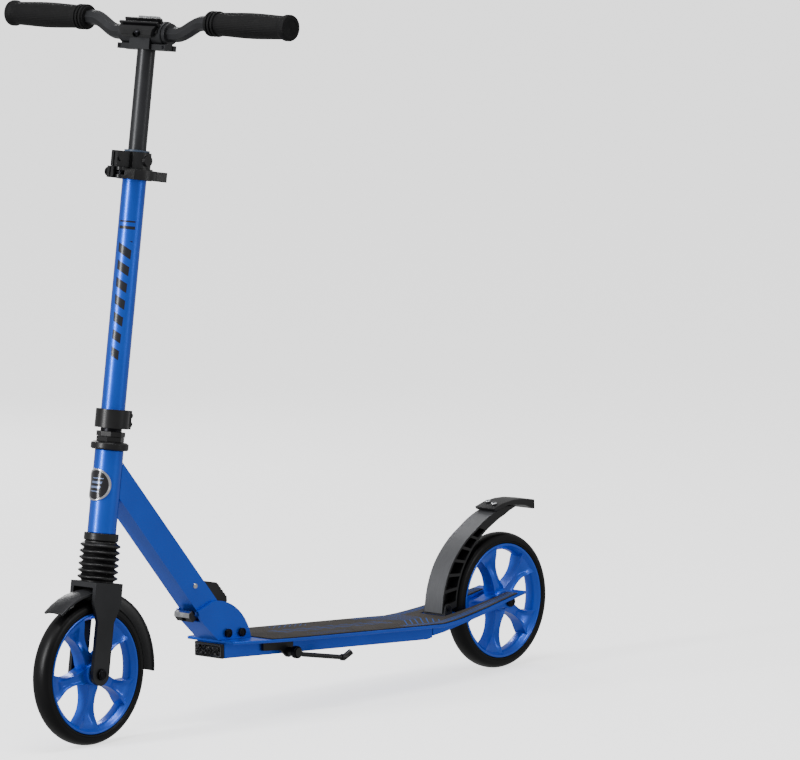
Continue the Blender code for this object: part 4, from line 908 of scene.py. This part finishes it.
for number in range(3):
    bump_y = grip_inner + 0.0040 + 0.0060 * number
    rings += [(barrel - 0.0012, bump_y - 0.0014), (barrel + 0.0010, bump_y - 0.0008),
              (barrel + 0.0013, bump_y + 0.0008), (barrel + 0.0010, bump_y + 0.0024),
              (barrel - 0.0012, bump_y + 0.0030)]
for step in range(barrel_steps + 1):
    share = step / barrel_steps
    bulge = 0.0008 * math.sin(math.pi * share) - 0.0004 * math.cos(math.tau * share)
    rings.append((barrel + bulge, grip_inner + 0.0215 + (grip_length - 0.0345) * share))
rings += [(0.0172, grip_outer - 0.0100), (0.0180, grip_outer - 0.0078), (0.0180, grip_outer - 0.0024),
          (0.0174, grip_outer - 0.0008), (0.0158, grip_outer), (0.0120, grip_outer),
          (0.0112, grip_outer - 0.0006), (0.0001, grip_outer - 0.0006)]
for side, half_turns in (("left", 1), ("right", 0)):
    mesh = turned("grip", rings, 72)
    mesh.transform(across)
    mesh.transform(Matrix.Rotation(math.pi * half_turns, 4, "Z"))
    grip = add_piece(f"grip_{side}_sleeve", mesh, grip_rubber, f"bar_{side}",
                     Matrix.Translation((grip_mid.x, 0.0, grip_mid.z)), 34.0)
    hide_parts(f"grip_{side}")

# ---------------------------------------------------------------- bar latch
# A moulded saddle that snaps over the bar sleeve: two long rim plates along its front, a wedge under
# them with a socket bolt, and a spring clip with bright ends on its crown. It is hinged at the rear.
sleeve_set = steering @ Matrix.Translation((0.0, 0.0, up_the_line(middle("bar_sleeve"))))
saddle_in, saddle_out, saddle_half = 0.0176, 0.0204, 0.0340
plate_foot, plate_t = 0.0190, 0.0032
clip_half, clip_top = 0.0200, 0.0245


def sector(inner, outer, start, end, steps=14):
    """Outline of a piece of ring in the side view, from one angle to another."""
    angles = [math.radians(start + (end - start) * step / steps) for step in range(steps + 1)]
    return ([(outer * math.cos(a), outer * math.sin(a)) for a in angles]
            + [(inner * math.cos(a), inner * math.sin(a)) for a in reversed(angles)])


def run_across(name, outline, left, right, draw_in=0.0):
    """A side-view outline run across the sleeve, its lower points drawn in at both ends."""
    skin = bmesh.new()
    lowest = min(z for x, z in outline)
    highest = max(z for x, z in outline)
    ends = []
    for end, sign in ((left, 1), (right, -1)):
        ends.append([skin.verts.new((x, end + sign * draw_in * (highest - z) / (highest - lowest), z))
                     for x, z in outline])
    skin.faces.new(ends[0])
    skin.faces.new(ends[1])
    band(skin, *ends)
    return finished(name, skin)


def rounded(piece, width):
    """Round a piece's edges, as a moulding's are."""
    bevel = piece.modifiers.new("edges", "BEVEL")
    bevel.width = width
    bevel.segments = 3
    bevel.limit_method = "ANGLE"
    bevel.angle_limit = math.radians(34)
    bevel.harden_normals = True


def out_plate(angle, tip):
    """Outline of a flat plate that stands out from the sleeve at an angle."""
    away = Vector((math.cos(math.radians(angle)), math.sin(math.radians(angle))))
    beside = Vector((-away.y, away.x)) * plate_t / 2
    corners = ((plate_foot, -1), (tip, -1), (tip, 1), (plate_foot, 1))
    return [tuple(away * reach + beside * side) for reach, side in corners]


wedge = [(-0.0165, 0.0120), (-0.0225, 0.0130), (-0.0262, 0.0080), (-0.0250, 0.0000), (-0.0205, -0.0034),
         (-0.0176, 0.0006)]
clip_base = [(-0.0070, 0.0185), (0.0070, 0.0185), (0.0060, clip_top), (-0.0060, clip_top)]
latch_pieces = (               # name, outline, half length, drawn in at the bottom, edge rounding
    ("latch_saddle", sector(saddle_in, saddle_out, 38, 170), saddle_half, 0.0, 0.0006),
    ("latch_upper_plate", out_plate(117, 0.0272), saddle_half, 0.0, 0.0006),
    ("latch_lower_plate", out_plate(140, 0.0282), saddle_half + 0.0020, 0.0, 0.0006),
    ("latch_wedge", wedge, saddle_half, 0.0070, 0.0008),
    ("latch_clip_base", clip_base, clip_half, 0.0, 0.0006),
)
for name, outline, half, draw_in, edge in latch_pieces:
    piece = add_piece(name, run_across(name, outline, -half, half, draw_in), nylon, "bar_latch",
                      sleeve_set, 30.0)
    rounded(piece, edge)
    if name == "latch_saddle":
        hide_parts("bar_latch")
clip_end = [(-0.0052, 0.0243), (0.0045, 0.0243), (0.0036, 0.0276), (-0.0044, 0.0276)]
for number, (left, right) in enumerate(((-0.0175, -0.0030), (0.0035, 0.0165))):
    name = f"latch_clip_{number + 1}"
    piece = add_piece(name, run_across(name, clip_end, left, right), zinc, "bar_latch",
                      sleeve_set)
    rounded(piece, 0.0005)
bolt_way = Vector((-0.86, 0.10, -0.50)).normalized()
bolt_foot = sleeve_set @ Vector((-0.0240, -0.0040, 0.0030))
bolt = cap_screw("latch_socket_bolt", bolt_foot, sleeve_set.to_3x3() @ bolt_way, 0.0050, 0.0075,
                 "bar_latch", black_oxide, 0.6)
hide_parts("latch_bolt")

# ---------------------------------------------------------------- kickstand foot and return spring
# A moulded rubber toe pushed over the leg's end, and four turns of black wire round the pivot boss that
# stand for the torsion spring.
dress(boot_rubber, ("kickstand_foot",), 0.0006)
stand = Vector(joints["kickstand_swing"]["pos_m"])
spring_r, spring_wire, spring_width, spring_turns = 0.0078, 0.0011, 0.0090, 4.0
stand_coil = wound("stand_spring", spring_r, spring_wire, 0.0, spring_width, spring_turns)
add_piece("stand_spring", stand_coil, black_oxide, "kickstand",
          Matrix.Translation(stand) @ Matrix.Rotation(math.radians(90), 4, "X"))
